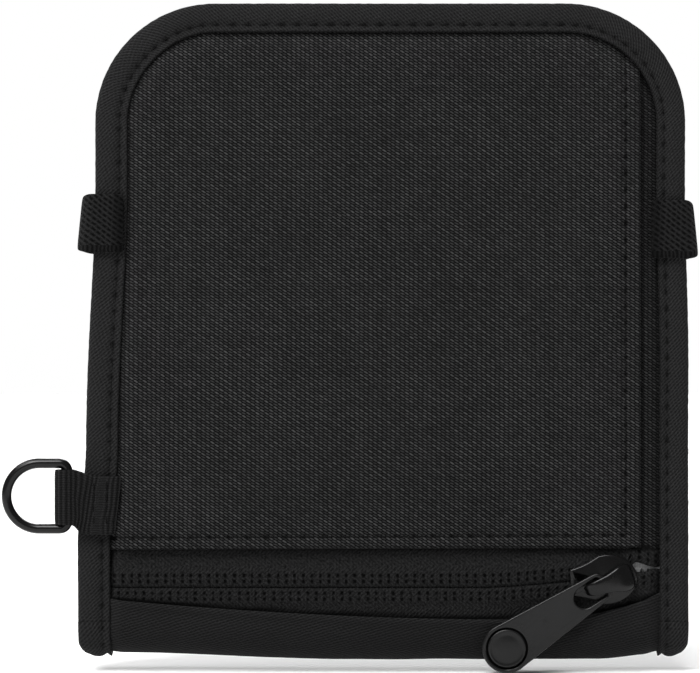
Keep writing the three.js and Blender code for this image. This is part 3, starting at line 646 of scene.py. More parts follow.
def leaf_swell(seed):
    """Lets a leaf-sized sheet, held along its edge, be pushed out by soft padding; returns its rise in
    mm."""
    v, u = np.meshgrid(np.linspace(0, 1, SWELL_ROWS), np.linspace(0, 1, SWELL_COLUMNS), indexing="ij")
    x, z = lerp(LEFT, RIGHT, u), lerp(FOLD_Z, TOP, v)
    inside, wave = edge_distance(x, z), ripple(x, z, 45, seed)
    points = stack(x, 0.25 * wave * smooth(inside, 6, 20), z).reshape(-1, 3)
    mesh = bpy.data.meshes.new("swell")
    mesh.from_pydata((points * MM).tolist(), [], lattice_faces(SWELL_ROWS, SWELL_COLUMNS)[0].tolist())
    sheet = link("swell", mesh)
    held = sheet.vertex_groups.new(name="held")
    for i, weight in enumerate(1 - smooth(inside, 7, 11).ravel()):
        if weight > 0:
            held.add([i], float(weight), "REPLACE")
    cloth = sheet.modifiers.new("cloth", "CLOTH")
    for key, value in SWELL_CLOTH.items():
        setattr(cloth.settings, key, value)
    cloth.settings.effector_weights.gravity = 0
    cloth.point_cache.frame_start, cloth.point_cache.frame_end = 1, SWELL_FRAMES
    scene = bpy.context.scene
    for number in range(1, SWELL_FRAMES + 1):
        scene.frame_set(number)
    moved = sheet.evaluated_get(bpy.context.evaluated_depsgraph_get()).to_mesh()
    rise = np.array([vertex.co.y for vertex in moved.vertices]).reshape(x.shape) / MM
    scene.frame_set(1)
    bpy.data.objects.remove(sheet)
    return rise * np.sign(rise[SWELL_ROWS // 2, SWELL_COLUMNS // 2])


def swell_at(rise, x, z, most=1.5):
    """Reads a swell at any point of the leaf, scaled so that its highest point is at most so many mm."""
    rise = rise * min(1.0, most / max(rise.max(), 1e-6))

    def cell(value, start, end, count):
        place = np.clip((value - start) / (end - start), 0, 1) * (count - 1)
        whole = np.clip(place.astype(int), 0, count - 2)
        return whole, smooth(place - whole, 0, 1)

    (r, part_r), (c, part_c) = cell(z, FOLD_Z, TOP, SWELL_ROWS), cell(x, LEFT, RIGHT, SWELL_COLUMNS)
    low, high = (lerp(rise[row, c], rise[row, c + 1], part_c) for row in (r, r + 1))
    return lerp(low, high, part_r)


FRONT_SWELL, BACK_SWELL = leaf_swell(3), leaf_swell(11)


# ---- panels -------------------------------------------------------------------------------------
def rounded(distance, thickness):
    """A sheet's thickness near a folded edge, as a share: 0 at the edge, 1 a little way in."""
    t = np.clip(distance / (thickness * 0.6), 0, 1)
    return np.sqrt(1 - (1 - t) ** 2)


def sheet(name, x, z, outer, thickness, side, material, body, nodes=(), edge=None, shade=None, uv=None):
    """A sheet whose outer face is at the given depths; edge is the distance to its nearest folded edge."""
    half = thickness / 2 * (1.0 if edge is None else rounded(edge, thickness))
    middle = outer - thickness / 2
    face, reverse = (stack(x, side * level, z) for level in (middle + half, middle - half - THINNEST))
    piece = slab(name, face, reverse, stack(x, z) if uv is None else uv, material, shade)
    settle(piece, body, *nodes)


POCKET_MOUTH_X = box_mm("front_pocket_panel")[1][0] + 0.6
POCKET_HEM_Z = box_mm("front_pocket_panel")[0][2] + 0.2
MOUTH_STITCH = POCKET_MOUTH_X - 3.3
HEM_STITCH = POCKET_HEM_Z + 2.6
MOUTH_START, HEM_START = POCKET_HEM_Z + 1.5, LEFT + BINDING_WIDTH + 1.5
MOUTH_PITCH, HEM_PITCH = 3.56, 4.0
HEM_RISE = 0.35  # how much higher the hem is at its right end than in its middle
RIM_CLOTH = RIM_OUTER - TAPE_THICKNESS  # depth of the cloth's face under the binding


def hem_shift(x, z):
    return HEM_RISE * x / RIGHT * (1 - smooth(z, POCKET_HEM_Z, POCKET_HEM_Z + 30))


def pocket_seams(x, z, width, weigh=lambda at_stitch: 0.7 + 0.3 * at_stitch):
    """How close a point is to the pocket's two sewn lines, weighed by the rhythm of their stitches."""
    mouth = bell(x, MOUTH_STITCH, width) * weigh(beat(z - MOUTH_START, MOUTH_PITCH))
    hem = bell(z, HEM_STITCH, width) * weigh(beat(x - HEM_START, HEM_PITCH))
    return np.maximum(mouth * (z > HEM_STITCH), hem * (x < MOUTH_STITCH + 1))


def pocket_holes(x, z):
    """1 in the middle of each needle hole along the pocket's two seams, where the painted shade is darkest.
    """
    return smooth(pocket_seams(x, z, 0.5, lambda at_stitch: smooth(at_stitch, 0.45, 0.9)), 0.3, 0.75)


def binding_shadow(x, z):
    """The dark line where cloth goes in under the binding."""
    width = binding_width_at(x)
    return 0.8 * (1 - smooth(edge_distance(x, z), width, width + 1.2))


def pocket_depth(x, z):
    """Outer face of the slip pocket: pinched at the binding, swollen in the middle, drawn in at its seams."""
    depth = pinched(x, z, RIM_CLOTH, SHELL_OUTER, end=10.5)
    depth = depth + swell_at(FRONT_SWELL, x, z) + 0.08 * ripple(x, z, 17, 21)
    flat = smooth(POCKET_MOUTH_X - x, 0, 26) * smooth(z - POCKET_HEM_Z, 0, 22)
    depth = lerp(np.minimum(depth, SHELL_OUTER + 0.15), depth, flat)
    pull = beat(z - MOUTH_START, MOUTH_PITCH) * bell(x, MOUTH_STITCH - 1.5, 1.6)
    pull = pull + beat(x - HEM_START, HEM_PITCH) * bell(z, HEM_STITCH + 1.5, 1.6)
    puff = bell(x, POCKET_MOUTH_X - 1.3, 0.9) + bell(z, POCKET_HEM_Z + 1.2, 0.8)
    return depth - 0.42 * pocket_seams(x, z, 0.6) + 0.12 * puff + 0.05 * pull


def front_pocket():
    z = leaf_heights(POCKET_HEM_Z, 0.6, [(HEM_STITCH, 1.6, 0.25), (POCKET_HEM_Z + 0.4, 0.8, 0.15)])
    left, right = (end[:, None] for end in row_ends(z))
    right = np.minimum(right, POCKET_MOUTH_X)
    split = np.minimum(POCKET_MOUTH_X - 6, lerp(left, right, 0.95))
    fine = graded(POCKET_MOUTH_X - 6, POCKET_MOUTH_X, 0.22)
    fine = (fine - fine[0]) / (fine[-1] - fine[0])
    x = np.hstack([lerp(left, split, np.linspace(0, 1, 112)[:-1]), lerp(split, right, fine)])
    z = np.broadcast_to(z[:, None], x.shape)
    edge = np.minimum(POCKET_MOUTH_X - x, z - POCKET_HEM_Z)
    # Painted shade: along the seams, darkest in the needle holes, at the folded hem and mouth edges, and
    # where the cloth goes in under the binding.
    sewn = 0.3 * smooth(pocket_seams(x, z, 0.42), 0.3, 0.6)
    fold = 0.6 * (1 - smooth(edge, 0, 0.5))
    shade = np.max([sewn, pocket_holes(x, z), fold, binding_shadow(x, z)], axis=0)
    sheet(
        "front_pocket_cloth", x, z + hem_shift(x, z), pocket_depth(x, z), 0.9, FRONT, CLOTH, "front_leaf",
        ["front_pocket_panel"], edge, shade,
    )
    rise = np.linspace(MOUTH_START, TOP - 12.0, 160)
    run = np.linspace(HEM_START, POCKET_MOUTH_X - 1.2, 160)
    for name, x, z, pitch in (
        ("mouth_stitches", MOUTH_STITCH, rise, MOUTH_PITCH), ("hem_stitches", run, HEM_STITCH, HEM_PITCH)
    ):
        path = stack(x, -pocket_depth(x, z), z + hem_shift(x, z))
        stitch_row(name, path, FRONT, pitch, pitch * 0.74, 0.15, "front_leaf", lift=0.0)


def front_shell():
    """The cloth behind the slip pocket; only the strip along its open side shows."""
    x, z = leaf_grid(leaf_heights(POCKET_HEM_Z - 0.2, 1.5), 120)
    depth = pinched(x, z, RIM_CLOTH - 0.9, SHELL_OUTER - 0.95, 5.8) + 0.05 * ripple(x, z, 12, 5)
    # Painted shadow: dark along the strip just behind the pocket's mouth, and an even painted shade of 0.3
    # over the rest of this cloth, which lies under the pocket.
    pocket_edge_shadow = 0.9 * (1 - smooth(x, POCKET_MOUTH_X + 0.2, POCKET_MOUTH_X + 1.6))
    shade = np.maximum(np.maximum(pocket_edge_shadow, 0.3), binding_shadow(x, z))
    sheet("front_shell_cloth", x, z, depth, 0.45, FRONT, CLOTH, "front_leaf", ["front_shell"], shade=shade)


def back_shell():
    x, z = leaf_grid(leaf_heights(BACK_SEAM_Z, 1.1), 118)
    swell = swell_at(BACK_SWELL, x, z, 1.2) * smooth(z, FOLD_Z, FOLD_Z + 30) + 0.08 * ripple(x, z, 17, 33)
    depth = pinched(x, z, RIM_CLOTH, SHELL_OUTER, end=10.5) + swell * (1 - bell(z, BAND_Z, 9.0))
    shade = binding_shadow(x, z)
    sheet("back_cloth", x, z, depth, 0.8, BACK, CLOTH, "back_leaf", ["back_shell"], shade=shade)


# ---- binding ------------------------------------------------------------------------------------
STITCH_INSET = BINDING_WIDTH - 1.6
BINDING_PITCH = 3.5
CORNER_ROLL = 1.3
SPINE_CORNER_R = 2.6
LEAST_GAP = 0.02  # between a leaf's binding and the wallet's middle plane
FOLD_DEPTH = 2.1  # how thick the binding is where it goes round the spine


def folded_profile(rim, corner):
    """The tape's section: insets and depths round its outside from edge to edge, then back inside, and which
    of them are outside."""

    def side(roll, shift):
        low, high, reach = rim + shift, RIM_OUTER - shift, roll + shift
        faces = np.append(BINDING_WIDTH - 0.12, graded(reach + 0.3, BINDING_WIDTH - 0.4, 0.4)[::-1])
        turn = np.concatenate([arc(reach, high - roll, roll, QUARTER, 2 * QUARTER, 5),
                               arc(reach, low + roll, roll, 2 * QUARTER, 3 * QUARTER, 5)])
        return np.concatenate([stack(faces, high), turn, stack(faces[::-1], low)])

    outer, inner = side(corner, 0.0), side(corner - TAPE_THICKNESS + 0.1, TAPE_THICKNESS)
    lip, middle = BINDING_WIDTH + 0.05, TAPE_THICKNESS / 2
    section = np.concatenate([outer, [(lip, rim + middle)], inner[::-1], [(lip, RIM_OUTER - middle)]])
    return section[:, 0], section[:, 1], np.arange(len(section)) < len(outer)


def binding_relief(inset, along):
    """How far each point of the tape stands out: puffed between seam and edge, dented at each stitch."""
    inset, along = inset[None, :], along[:, None]
    inside = smooth(np.minimum(along, along[-1] - along), 0, 5)
    puff = 0.22 * np.sin(np.pi * np.clip((inset - 0.6) / (STITCH_INSET - 0.6), 0, 1))
    rhythm = beat(along, BINDING_PITCH) * inside
    dent = 0.4 * bell(inset, STITCH_INSET, 0.6) * (0.7 + 0.3 * rhythm)
    pull = 0.07 * bell(inset, STITCH_INSET - 1.6, 1.2) * rhythm
    lip = 0.1 * smooth(inset, STITCH_INSET + 0.4, BINDING_WIDTH)
    lip = lip * (1 + np.sin(2 * np.pi * along / 7.3) * inside)
    wave = 0.05 * ripple(inset * 3, along, 14, 41) * inside
    weave = 0.05 * ripple(inset, along, 2.1, 43) * inside * (inset < STITCH_INSET - 1)
    return (puff - dent + pull + lip + wave) * smooth(inset, 0.4, 1.6) + weave


# Painted shade on the tape: dark needle holes along its stitch line, a dark strip at its inner edge where it
# meets the cloth, and all of its hidden inner side.
def binding_shade(inset, is_outer, along):
    hole = smooth(beat(along[:, None], BINDING_PITCH), 0.5, 0.9)
    sewn = bell(inset, STITCH_INSET, 0.42) * (0.25 + 0.75 * hole)
    inner_edge = 0.5 * smooth(inset, BINDING_WIDTH - 0.5, BINDING_WIDTH)
    return np.maximum(np.maximum(sewn, inner_edge), 1.0 - is_outer)


def binding_uv(inset, depth, lengths):
    around = run_lengths(stack(inset, depth))
    return stack(np.append(around, around[-1] + 0.5), lengths[:, None])


def facing(depth, rim, corner):
    """1 on the tape's outer side, -1 on its inner side, and between them round its edge."""
    middle = (RIM_OUTER + rim) / 2
    return np.clip((depth - middle) / (RIM_OUTER - middle - corner), -1, 1)


def leaf_binding(name, side, body, node):
    """The binding round a leaf; its two ends run on a little way inside the fold."""
    points, normals, lengths = edge_line()
    inset, depth, is_outer = folded_profile(RIM_INNER, CORNER_ROLL)
    relief = facing(depth, RIM_INNER, CORNER_ROLL) * binding_relief(inset, lengths)
    shift = 0.1 * ripple(lengths, 0, 38, 55 + side) + 0.035 * ripple(lengths, 0, 1.7, 57, 5)
    shift *= smooth(lengths, 0, 12) * smooth(lengths[-1] - lengths, 0, 12)
    wider = binding_width_at(points[:, :1]) / BINDING_WIDTH
    seam = points + normals * STITCH_INSET * wider
    place = points[:, None] + normals[:, None] * (inset * wider + shift[:, None])[..., None]
    rings = stack(place[..., 0], side * np.maximum(depth + relief, LEAST_GAP), place[..., 1])
    turn = np.linspace(0.01, 1.15, 8)[:, None]
    drop = SPINE_STRETCH * (RIM_OUTER - FOLD_DEPTH) * np.sin(turn)
    reach = (RIM_OUTER - FOLD_DEPTH - 0.1) * np.cos(turn)
    start, end = (
        stack(ring[:, 0], side * np.minimum(np.abs(ring[:, 1]), reach), ring[:, 2] - drop)
        for ring in (rings[0], rings[-1])
    )
    rings = np.concatenate([start[::-1], rings, end])
    lengths = np.concatenate([-drop[::-1, 0], lengths, lengths[-1] + drop[:, 0]])
    shade = binding_shade(inset, is_outer, lengths)
    settle(tube(name, rings, binding_uv(inset, depth, lengths), BINDING, shade=shade), body, node)
    for which, base, sense in (("outer", RIM_OUTER, 1), ("inner", RIM_INNER, -1)):
        path = stack(seam[:, 0], side * (base - sense * 0.27), seam[:, 1])
        stitch_row(f"{name}_{which}_stitches", path, side * sense, BINDING_PITCH, 2.3, 0.14, body, lift=0.0)


def spine_binding(name, end, node):
    """The binding carried under the spine; its outer corner is rounded off where it turns."""
    angle = np.linspace(0, np.pi, 34)[:, None]  # from the back leaf to the front leaf
    rim, corner = RIM_OUTER - FOLD_DEPTH, FOLD_DEPTH / 2 - 0.1
    inset, depth, is_outer = folded_profile(rim, corner)
    along = angle[:, 0] * RIM_OUTER
    level = depth + np.maximum(facing(depth, rim, corner), 0) * binding_relief(inset, along)
    edge = LEFT if end < 0 else RIGHT
    wider = binding_width_at(edge) / BINDING_WIDTH
    above = SPINE_STRETCH * RIM_OUTER * (1 - np.sin(angle))
    round_off = SPINE_CORNER_R - np.sqrt(SPINE_CORNER_R**2 - np.clip(SPINE_CORNER_R - above, 0, None) ** 2)
    x = edge - end * (inset * wider + round_off * (1 - inset / BINDING_WIDTH))
    rings = stack(x, level * np.cos(angle), FOLD_Z - SPINE_STRETCH * level * np.sin(angle))
    run = -np.minimum(along, along[-1] - along)  # carries on from both leaves and meets under the spine
    if end > 0:
        run = edge_line()[2][-1] - run
    shade = binding_shade(inset, is_outer, along)
    bend_at_spine(tube(name, rings, binding_uv(inset, depth, run), BINDING, shade=shade), node)


# ---- lower panel and spine -----------------------------------------------------------------------
LIP_X, LIP_LOW = 25, 8.25
# reach, rise and power on each side of the lip's lowest point
LIP_LEFT, LIP_RIGHT = (81, 4.05, 1.84), (33, 5.0, 2.6)
BACK_SEAM_Z = 11.0
SPINE_LOWEST = -0.95
SPINE_THICKNESS = 0.75


def lip_height(x):
    """The lower panel's top edge, which sags in the middle."""
    away = np.abs(x - LIP_X)
    left, right = (rise * (away / reach) ** power for reach, rise, power in (LIP_LEFT, LIP_RIGHT))
    return LIP_LOW + np.where(x < LIP_X, left, right)


def spine_span(step, fine_step=None):
    """Places along the spine between the bindings, and how far each is out of their grip, from 0 to 1."""
    left, right = LEFT + SEAM_INSET, RIGHT - SEAM_INSET
    x = graded(left, right, step, [(place, 4, fine_step) for place in (left + 5, right - 5) if fine_step])
    return x, smooth(np.minimum(x - LEFT, RIGHT - x), 5.8, 9.5)


def spine_cloth():
    """One cloth from its lip under the zip, round the spine, to the seam on the back."""
    x, share = spine_span(0.9, 0.3)
    across = lerp(RIM_CLOTH, SHELL_OUTER, share)
    lowest = SPINE_LOWEST + 1.5 * (1 - smooth(x, -58, -8)) + 1.15 * smooth(x, 46, 58)
    down = lerp(SPINE_STRETCH * RIM_CLOTH, FOLD_Z - lowest, share)
    lip, seam = np.maximum(lip_height(x), FOLD_Z + 0.5), BACK_SEAM_Z + 1.2
    rows = []  # x, y, z and the distance to the nearest folded edge
    for t in (0, 0.02, 0.06, 0.12, 0.2, *np.linspace(0.3, 1, 10)):
        level = lerp(lip, FOLD_Z, t)
        puff = 0.35 * bell(t * (lip - FOLD_Z), 0.9, 0.8) * share
        rows.append(stack(x, -(across + puff), level, lip - level))
    for a in np.linspace(np.pi, 0, 30)[1:-1]:
        bulge = 0.08 * ripple(x, a * 6, 18, 61)
        rows.append(stack(x, (across + bulge) * np.cos(a), FOLD_Z - (down + bulge) * np.sin(a), 9))
    for t in (*np.linspace(0, 0.7, 6), 0.8, 0.88, 0.94, 0.98, 1):
        level = lerp(FOLD_Z, seam, t)
        rows.append(stack(x, across + 0.45 * smooth(t, 0.3, 0.7), level, seam - level))
    rows = np.array(rows)
    face, edge = rows[..., :3], rows[..., 3]
    normal = unit(np.cross(np.gradient(face, axis=0), np.gradient(face, axis=1)))
    away = (face - (0, 0, FOLD_Z + 2.0)) * (0, 1, 1)
    normal = normal * np.where((normal * away).sum(axis=-1, keepdims=True) >= 0, 1.0, -1.0)
    half = SPINE_THICKNESS / 2 * rounded(edge, SPINE_THICKNESS)[..., None]
    middle = face - normal * SPINE_THICKNESS / 2
    outer, inner = middle + normal * half, middle - normal * (half + THINNEST)
    piece = slab("spine_cloth", outer, inner, stack(x, lip - run_lengths(face)), LOWER)
    bend_at_spine(piece, "front_lower_panel", "spine_panel")


def spine_lining():
    """The grey lining inside the fold."""
    x, share = spine_span(2.0)
    tucked = RIM_OUTER - FOLD_DEPTH / 2
    across, down = lerp(tucked, 5.0, share), lerp(SPINE_STRETCH * tucked, FOLD_Z - 1.3, share)
    a = np.linspace(np.pi, 0, 26)[:, None]
    outer, inner = (
        stack(x, (across - inset) * np.cos(a), FOLD_Z - (down - inset) * np.sin(a)) for inset in (0.0, 0.3)
    )
    uv = stack(x, np.linspace(0, 18, 26)[:, None])
    bend_at_spine(slab("spine_lining_cloth", outer, inner, uv, LINING), "spine_lining")


# ---- zip ----------------------------------------------------------------------------------------
SEW_ROWS = (1.15, 2.45)  # the coil's two rows of sewing, measured from the tape's edge
SEW_PITCH = 1.83
COIL_PITCH, COIL_STEPS, COIL_SIDES, COIL_WIRE_R = 1.45, 14, 6, 0.27


def chain_height(x):
    """Where the two tapes meet: it climbs a little towards the slider."""
    return 14.9 + 1.7 * smooth(x, 20, 50)


def upper_edge(x):
    return chain_height(x) + 0.07 + 3.6 * smooth(x, 50.5, 54) * (1 - 0.33 * smooth(x, 53.5, 58.5))


def lower_edge(x):
    return chain_height(x) - 0.07 + 1.7 * smooth(x, 51, 54.5) + 0.6 * smooth(x, 55, 58.5)


def zip_tape(name, towards, edge_of, reach_to, node):
    """One tape: ridged over the coil, dented by its sewing; towards is 1 for the upper tape."""
    left, right = row_ends(np.array([16.0]))
    x = np.arange(left[0], right[0], 0.16)
    d = graded(0, 12, 0.9, [(1.7, 1.7, 0.16)])[:, None]
    d = np.minimum(d, np.abs(reach_to - edge_of(x)))
    x, z = np.broadcast_arrays(x, edge_of(x) + towards * d)
    ridge = 0.22 * smooth(d, 0.1, 0.7) * (1 - smooth(d, 2.9, 3.7))
    drift = 0.25 * ripple(x, 0, 9, 73)
    near = beat(x + drift + 0.25 * towards * SEW_PITCH, SEW_PITCH)
    deep = np.clip(0.85 + 0.15 * towards + 0.5 * ripple(x, z * 2, 3.7, 75), 0.35, 1)
    dents = deep * smooth(near, 0.3, 0.85) * sum(bell(d, row, 0.33) for row in SEW_ROWS)
    sink = (0.55 if towards > 0 else 0.25) * smooth(d, 3.5, 7.0)
    base = pinched(x, z, RIM_CLOTH - 1.0, TAPE_OUTER, 5.8)
    depth = base + ridge - 0.3 * dents - sink + 0.05 * ripple(x, z, 16, 71)
    if towards > 0:
        crevice_shade = 0.85 * (1 - smooth(POCKET_HEM_Z - z, 0.1, 0.9))
    else:
        crevice_shade = 0.95 * (1 - smooth(z - lip_height(x), 0.15, 1.0))
    meeting_line_shade = 0.8 * (1 - smooth(d, 0.0, 0.22))
    # Painted shade: dark sewing dots in the dents, a dark line in the crevice under the pocket hem or over
    # the lower panel's lip, a dark line where the two tapes meet, and the shadow under the binding.
    shade = np.max([2.6 * dents, crevice_shade, meeting_line_shade, binding_shadow(x, z)], axis=0)
    uv = stack(x, z - chain_height(x))
    sheet(name, x, z, depth, 0.5, FRONT, ZIP_TAPE, "front_leaf", [node], d, shade, uv)


def zip_coil(name, towards, edge_of, end, node):
    """One nylon coil under its tape: a flat helix whose loops reach past the tape's edge."""
    start = box_mm(node)[0][0]
    t = np.arange(int((end - start) / COIL_PITCH) * COIL_STEPS) / COIL_STEPS
    x, phase = start + t * COIL_PITCH, 2 * np.pi * t
    z = edge_of(x) + towards * (0.85 - 1.25 * np.cos(phase))
    path = stack(x, -4.95 - 0.42 * np.sin(phase), z)
    along = unit(np.gradient(path, axis=0))
    across = unit(np.cross(along, (0, 0, 1.0)))
    rings = rings_round(path, across, np.cross(across, along), COIL_WIRE_R, COIL_WIRE_R, COIL_SIDES)
    uv = stack(np.linspace(0, 1, COIL_SIDES + 1), x[:, None])
    settle(tube(name, rings, uv, COIL), "front_leaf", node)


def mouth_lining():
    """The light lining that shows where the tapes part, right of the slider."""
    x, z = np.meshgrid(np.linspace(46, 60.6, 40), np.linspace(12.5, 24, 30))
    depth = pinched(x, z, 4.0, 4.75, 5.0) + 0.12 * ripple(x, z, 5, 77)
    shade = 0.5 + 0.3 * smooth(x, 54, 58.5)  # it lies in the shadow of the opening
    sheet("coin_mouth_lining", x, z, depth, 0.25, FRONT, LINING, "front_leaf", shade=shade)


# ---- linings and pockets --------------------------------------------------------------------------
def flat_lining(name, node, body, side, at_rim, inside, thickness, material, mouth=None):
    """A leaf-shaped sheet inside the wallet, pinched under the binding; mouth is the height of its hem."""
    low, high = box_mm(node)
    top = mouth or min(high[2], CLOTH_TOP - 0.02)
    fine = [(top - 0.4, 0.8, 0.2), (top - 2.2, 1.0, 0.25)] if mouth else []
    x, z = leaf_grid(graded(low[2], top, 1.4, fine), 90)
    level = pinched(x, z, at_rim, inside) + 0.1 * ripple(x, z, 26, len(name))
    if mouth:
        level = level + 0.1 * bell(z, mouth - 2.2, 0.5)
    sheet(name, x, z, level, thickness, side, material, body, [node], mouth - z if mouth else None)


def passport_sleeve():
    """The black cover that the passport slides behind, with a folded and stitched top hem."""
    top = box_mm("passport_sleeve")[1][2]
    flat_lining("sleeve_cloth", "passport_sleeve", "back_leaf", BACK, 1.85, 0.5, 0.35, POCKET, mouth=top)
    path = stack(np.linspace(LEFT + 11, RIGHT - 9, 90), 0.12, top - 2.2)
    stitch_row("sleeve_stitches", path, FRONT, 3.2, 2.5, 0.16, "back_leaf")


def card_slot(node):
    """One card pocket: a thin cloth with a rolled hem along its mouth and stitches down its sides."""
    low, high = box_mm(node)
    x = graded(low[0], high[0], 1.5, [(low[0] + 0.4, 0.7, 0.2), (high[0] - 0.4, 0.7, 0.2)])
    z = graded(low[2], high[2], 1.5, [(high[2] - 1.2, 1.4, 0.2), (low[2] + 0.4, 0.7, 0.2)])
    x, z = np.meshgrid(x, z)
    bow = 0.072 * np.sin(np.pi * (x - low[0]) / (high[0] - low[0])) * smooth(z, low[2], high[2])
    outer = -low[1] - bow + 0.03 * ripple(x, z, 20, 81) - 0.1 * bell(z, high[2] - 0.7, 0.6)
    edge = np.min([x - low[0], high[0] - x, z - low[2], high[2] - z], axis=0)
    sheet(f"{node}_cloth", x, z, outer, high[1] - low[1], FRONT, POCKET, "front_leaf", [node], edge)
    path = stack(np.linspace(low[0] + 1.5, high[0] - 1.5, 60), high[1] + 0.1, high[2] - 1.8)
    stitch_row(f"{node}_hem_stitches", path, BACK, 2.8, 2.1, 0.12, "front_leaf")


# ---- elastic band ---------------------------------------------------------------------------------
BAND_LOW, BAND_HIGH = box_mm("closure_band")
BAND_X, _, BAND_Z = (BAND_LOW + BAND_HIGH) / 2
BAND_REACH, _, BAND_HALF_WIDTH = (BAND_HIGH - BAND_LOW) / 2
BAND_THICKNESS = 1.2
BAND_BEND = 2.6
BAND_FLARE = 0.65  # how far the loops' lower corners stand out
BAND_TILT = 0.65  # how much higher the band's left end sits than its middle


def resampled(line, step):
    """A line of points at even steps: its two coordinates and the lengths along it."""
    lengths = run_lengths(line)
    at = np.arange(0, lengths[-1], step)
    return np.interp(at, lengths, line[:, 0]), np.interp(at, lengths, line[:, 1]), at


def band_path():
    """The middle of the band's section, from its right end at the front, round the back, to its left end."""
    reach = BAND_REACH - BAND_THICKNESS / 2
    front, back = (face + 0.3 + BAND_THICKNESS / 2 for face in (RIM_OUTER, SHELL_OUTER))
    half = np.concatenate([
        [(reach - 8.8, front - 0.5), (reach - 8.2, front - 0.1), (reach - 7.2, front)],
        arc(reach - BAND_BEND, front - BAND_BEND, BAND_BEND, QUARTER, 0, 8),
        arc(reach - BAND_BEND, -back + BAND_BEND + 0.2, BAND_BEND, 0, -QUARTER, 8),
        [(reach - 12, -back)],
    ])
    x, depth, at = resampled(np.concatenate([half, half[::-1] * (-1, 1)]), 0.5)
    return x + BAND_X, -depth, at


def strap_rings(x, y, half_width, half_thickness, centre_z, sides, power):
    """Flat rounded sections standing across a path in the XY plane."""
    along = unit(stack(np.gradient(x), np.gradient(y)))
    across = stack(along[:, 1], -along[:, 0], 0)
    return rings_round(stack(x, y, centre_z), across, (0, 0, 1.0), half_thickness, half_width, sides, power)


def band_uv(rings, at):
    v = rings[..., 2] - rings[..., 2].mean(axis=1, keepdims=True)
    return stack(at[:, None], np.hstack([v, v[:, :1]]))


def closure_band():
    x, y, at = band_path()
    centre_z = BAND_Z - BAND_TILT * x / 66 + 0.1 * ripple(at, 0, 60, 91)
    outermost = BAND_REACH - np.abs(x - BAND_X)
    width = BAND_HALF_WIDTH - 1.7 * (1 - rounded(outermost, 4.0)) + 0.08 * ripple(at, 0, 7, 93)
    rings = strap_rings(x, y, width, BAND_THICKNESS / 2, centre_z, 28, 0.32)
    flare = BAND_FLARE * np.sign(x) * (1 - smooth(outermost, 0, 5))
    rings[..., 0] -= flare[:, None] * (rings[..., 2] - centre_z[:, None]) / BAND_HALF_WIDTH
    # Painted shade where the band's ends tuck in under the binding.
    tucked = 0.6 * (1 - smooth(np.minimum(at, at[-1] - at), 0.5, 3.0))[:, None] * np.ones(rings.shape[1])
    piece = tube("elastic_band", rings, band_uv(rings, at), ELASTIC, shade=tucked)
    stand_for(piece, "closure_band")
    start, end = ((0, y * MM, BAND_Z * MM) for y in (-4.5, 6.0))
    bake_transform(piece)
    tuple(start)
    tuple(end)


# ---- D-ring and webbing ---------------------------------------------------------------------------
RING_LOW, RING_HIGH = box_mm("d_ring")
WIRE_R = (RING_HIGH[1] - RING_LOW[1]) / 2
RING_Y, RING_Z = (RING_LOW[1:] + RING_HIGH[1:]) / 2
RING_BAR_X = RING_HIGH[0] - WIRE_R
RING_CORNER = 1.7
WEBBING_RIB, WEBBING_THICKNESS, WEBBING_GAP = 0.95, 0.8, 0.3
WEBBING_SEAMS = (("webbing_stitches_inner", -58.7), ("webbing_stitches_outer", -61.4))


def d_ring():
    """Round wire bent into a D, its straight side held by the webbing."""
    low, high = RING_LOW[2] + WIRE_R, RING_HIGH[2] - WIRE_R
    bow_r, turn_x = (high - low) / 2, RING_BAR_X - RING_CORNER
    points = np.concatenate([
        arc(RING_LOW[0] + WIRE_R + bow_r, RING_Z, bow_r, QUARTER, 3 * QUARTER, 40),
        arc(turn_x, low + RING_CORNER, RING_CORNER, -QUARTER, 0, 9),
        stack(RING_BAR_X, np.linspace(low + RING_CORNER, high - RING_CORNER, 12)[1:-1]),
        arc(turn_x, high - RING_CORNER, RING_CORNER, 0, QUARTER, 9),
    ])
    along = loop_directions(points)
    across = stack(along[:, 1], 0, -along[:, 0])
    rings = rings_round(stack(points[:, 0], RING_Y, points[:, 1]), across, (0, 1.0, 0), WIRE_R, WIRE_R, 20)
    uv = stack(np.linspace(0, 1, 21), np.arange(len(points))[:, None])
    settle(tube("ring_wire", rings, uv, METAL, closed=True), "d_ring", "d_ring")


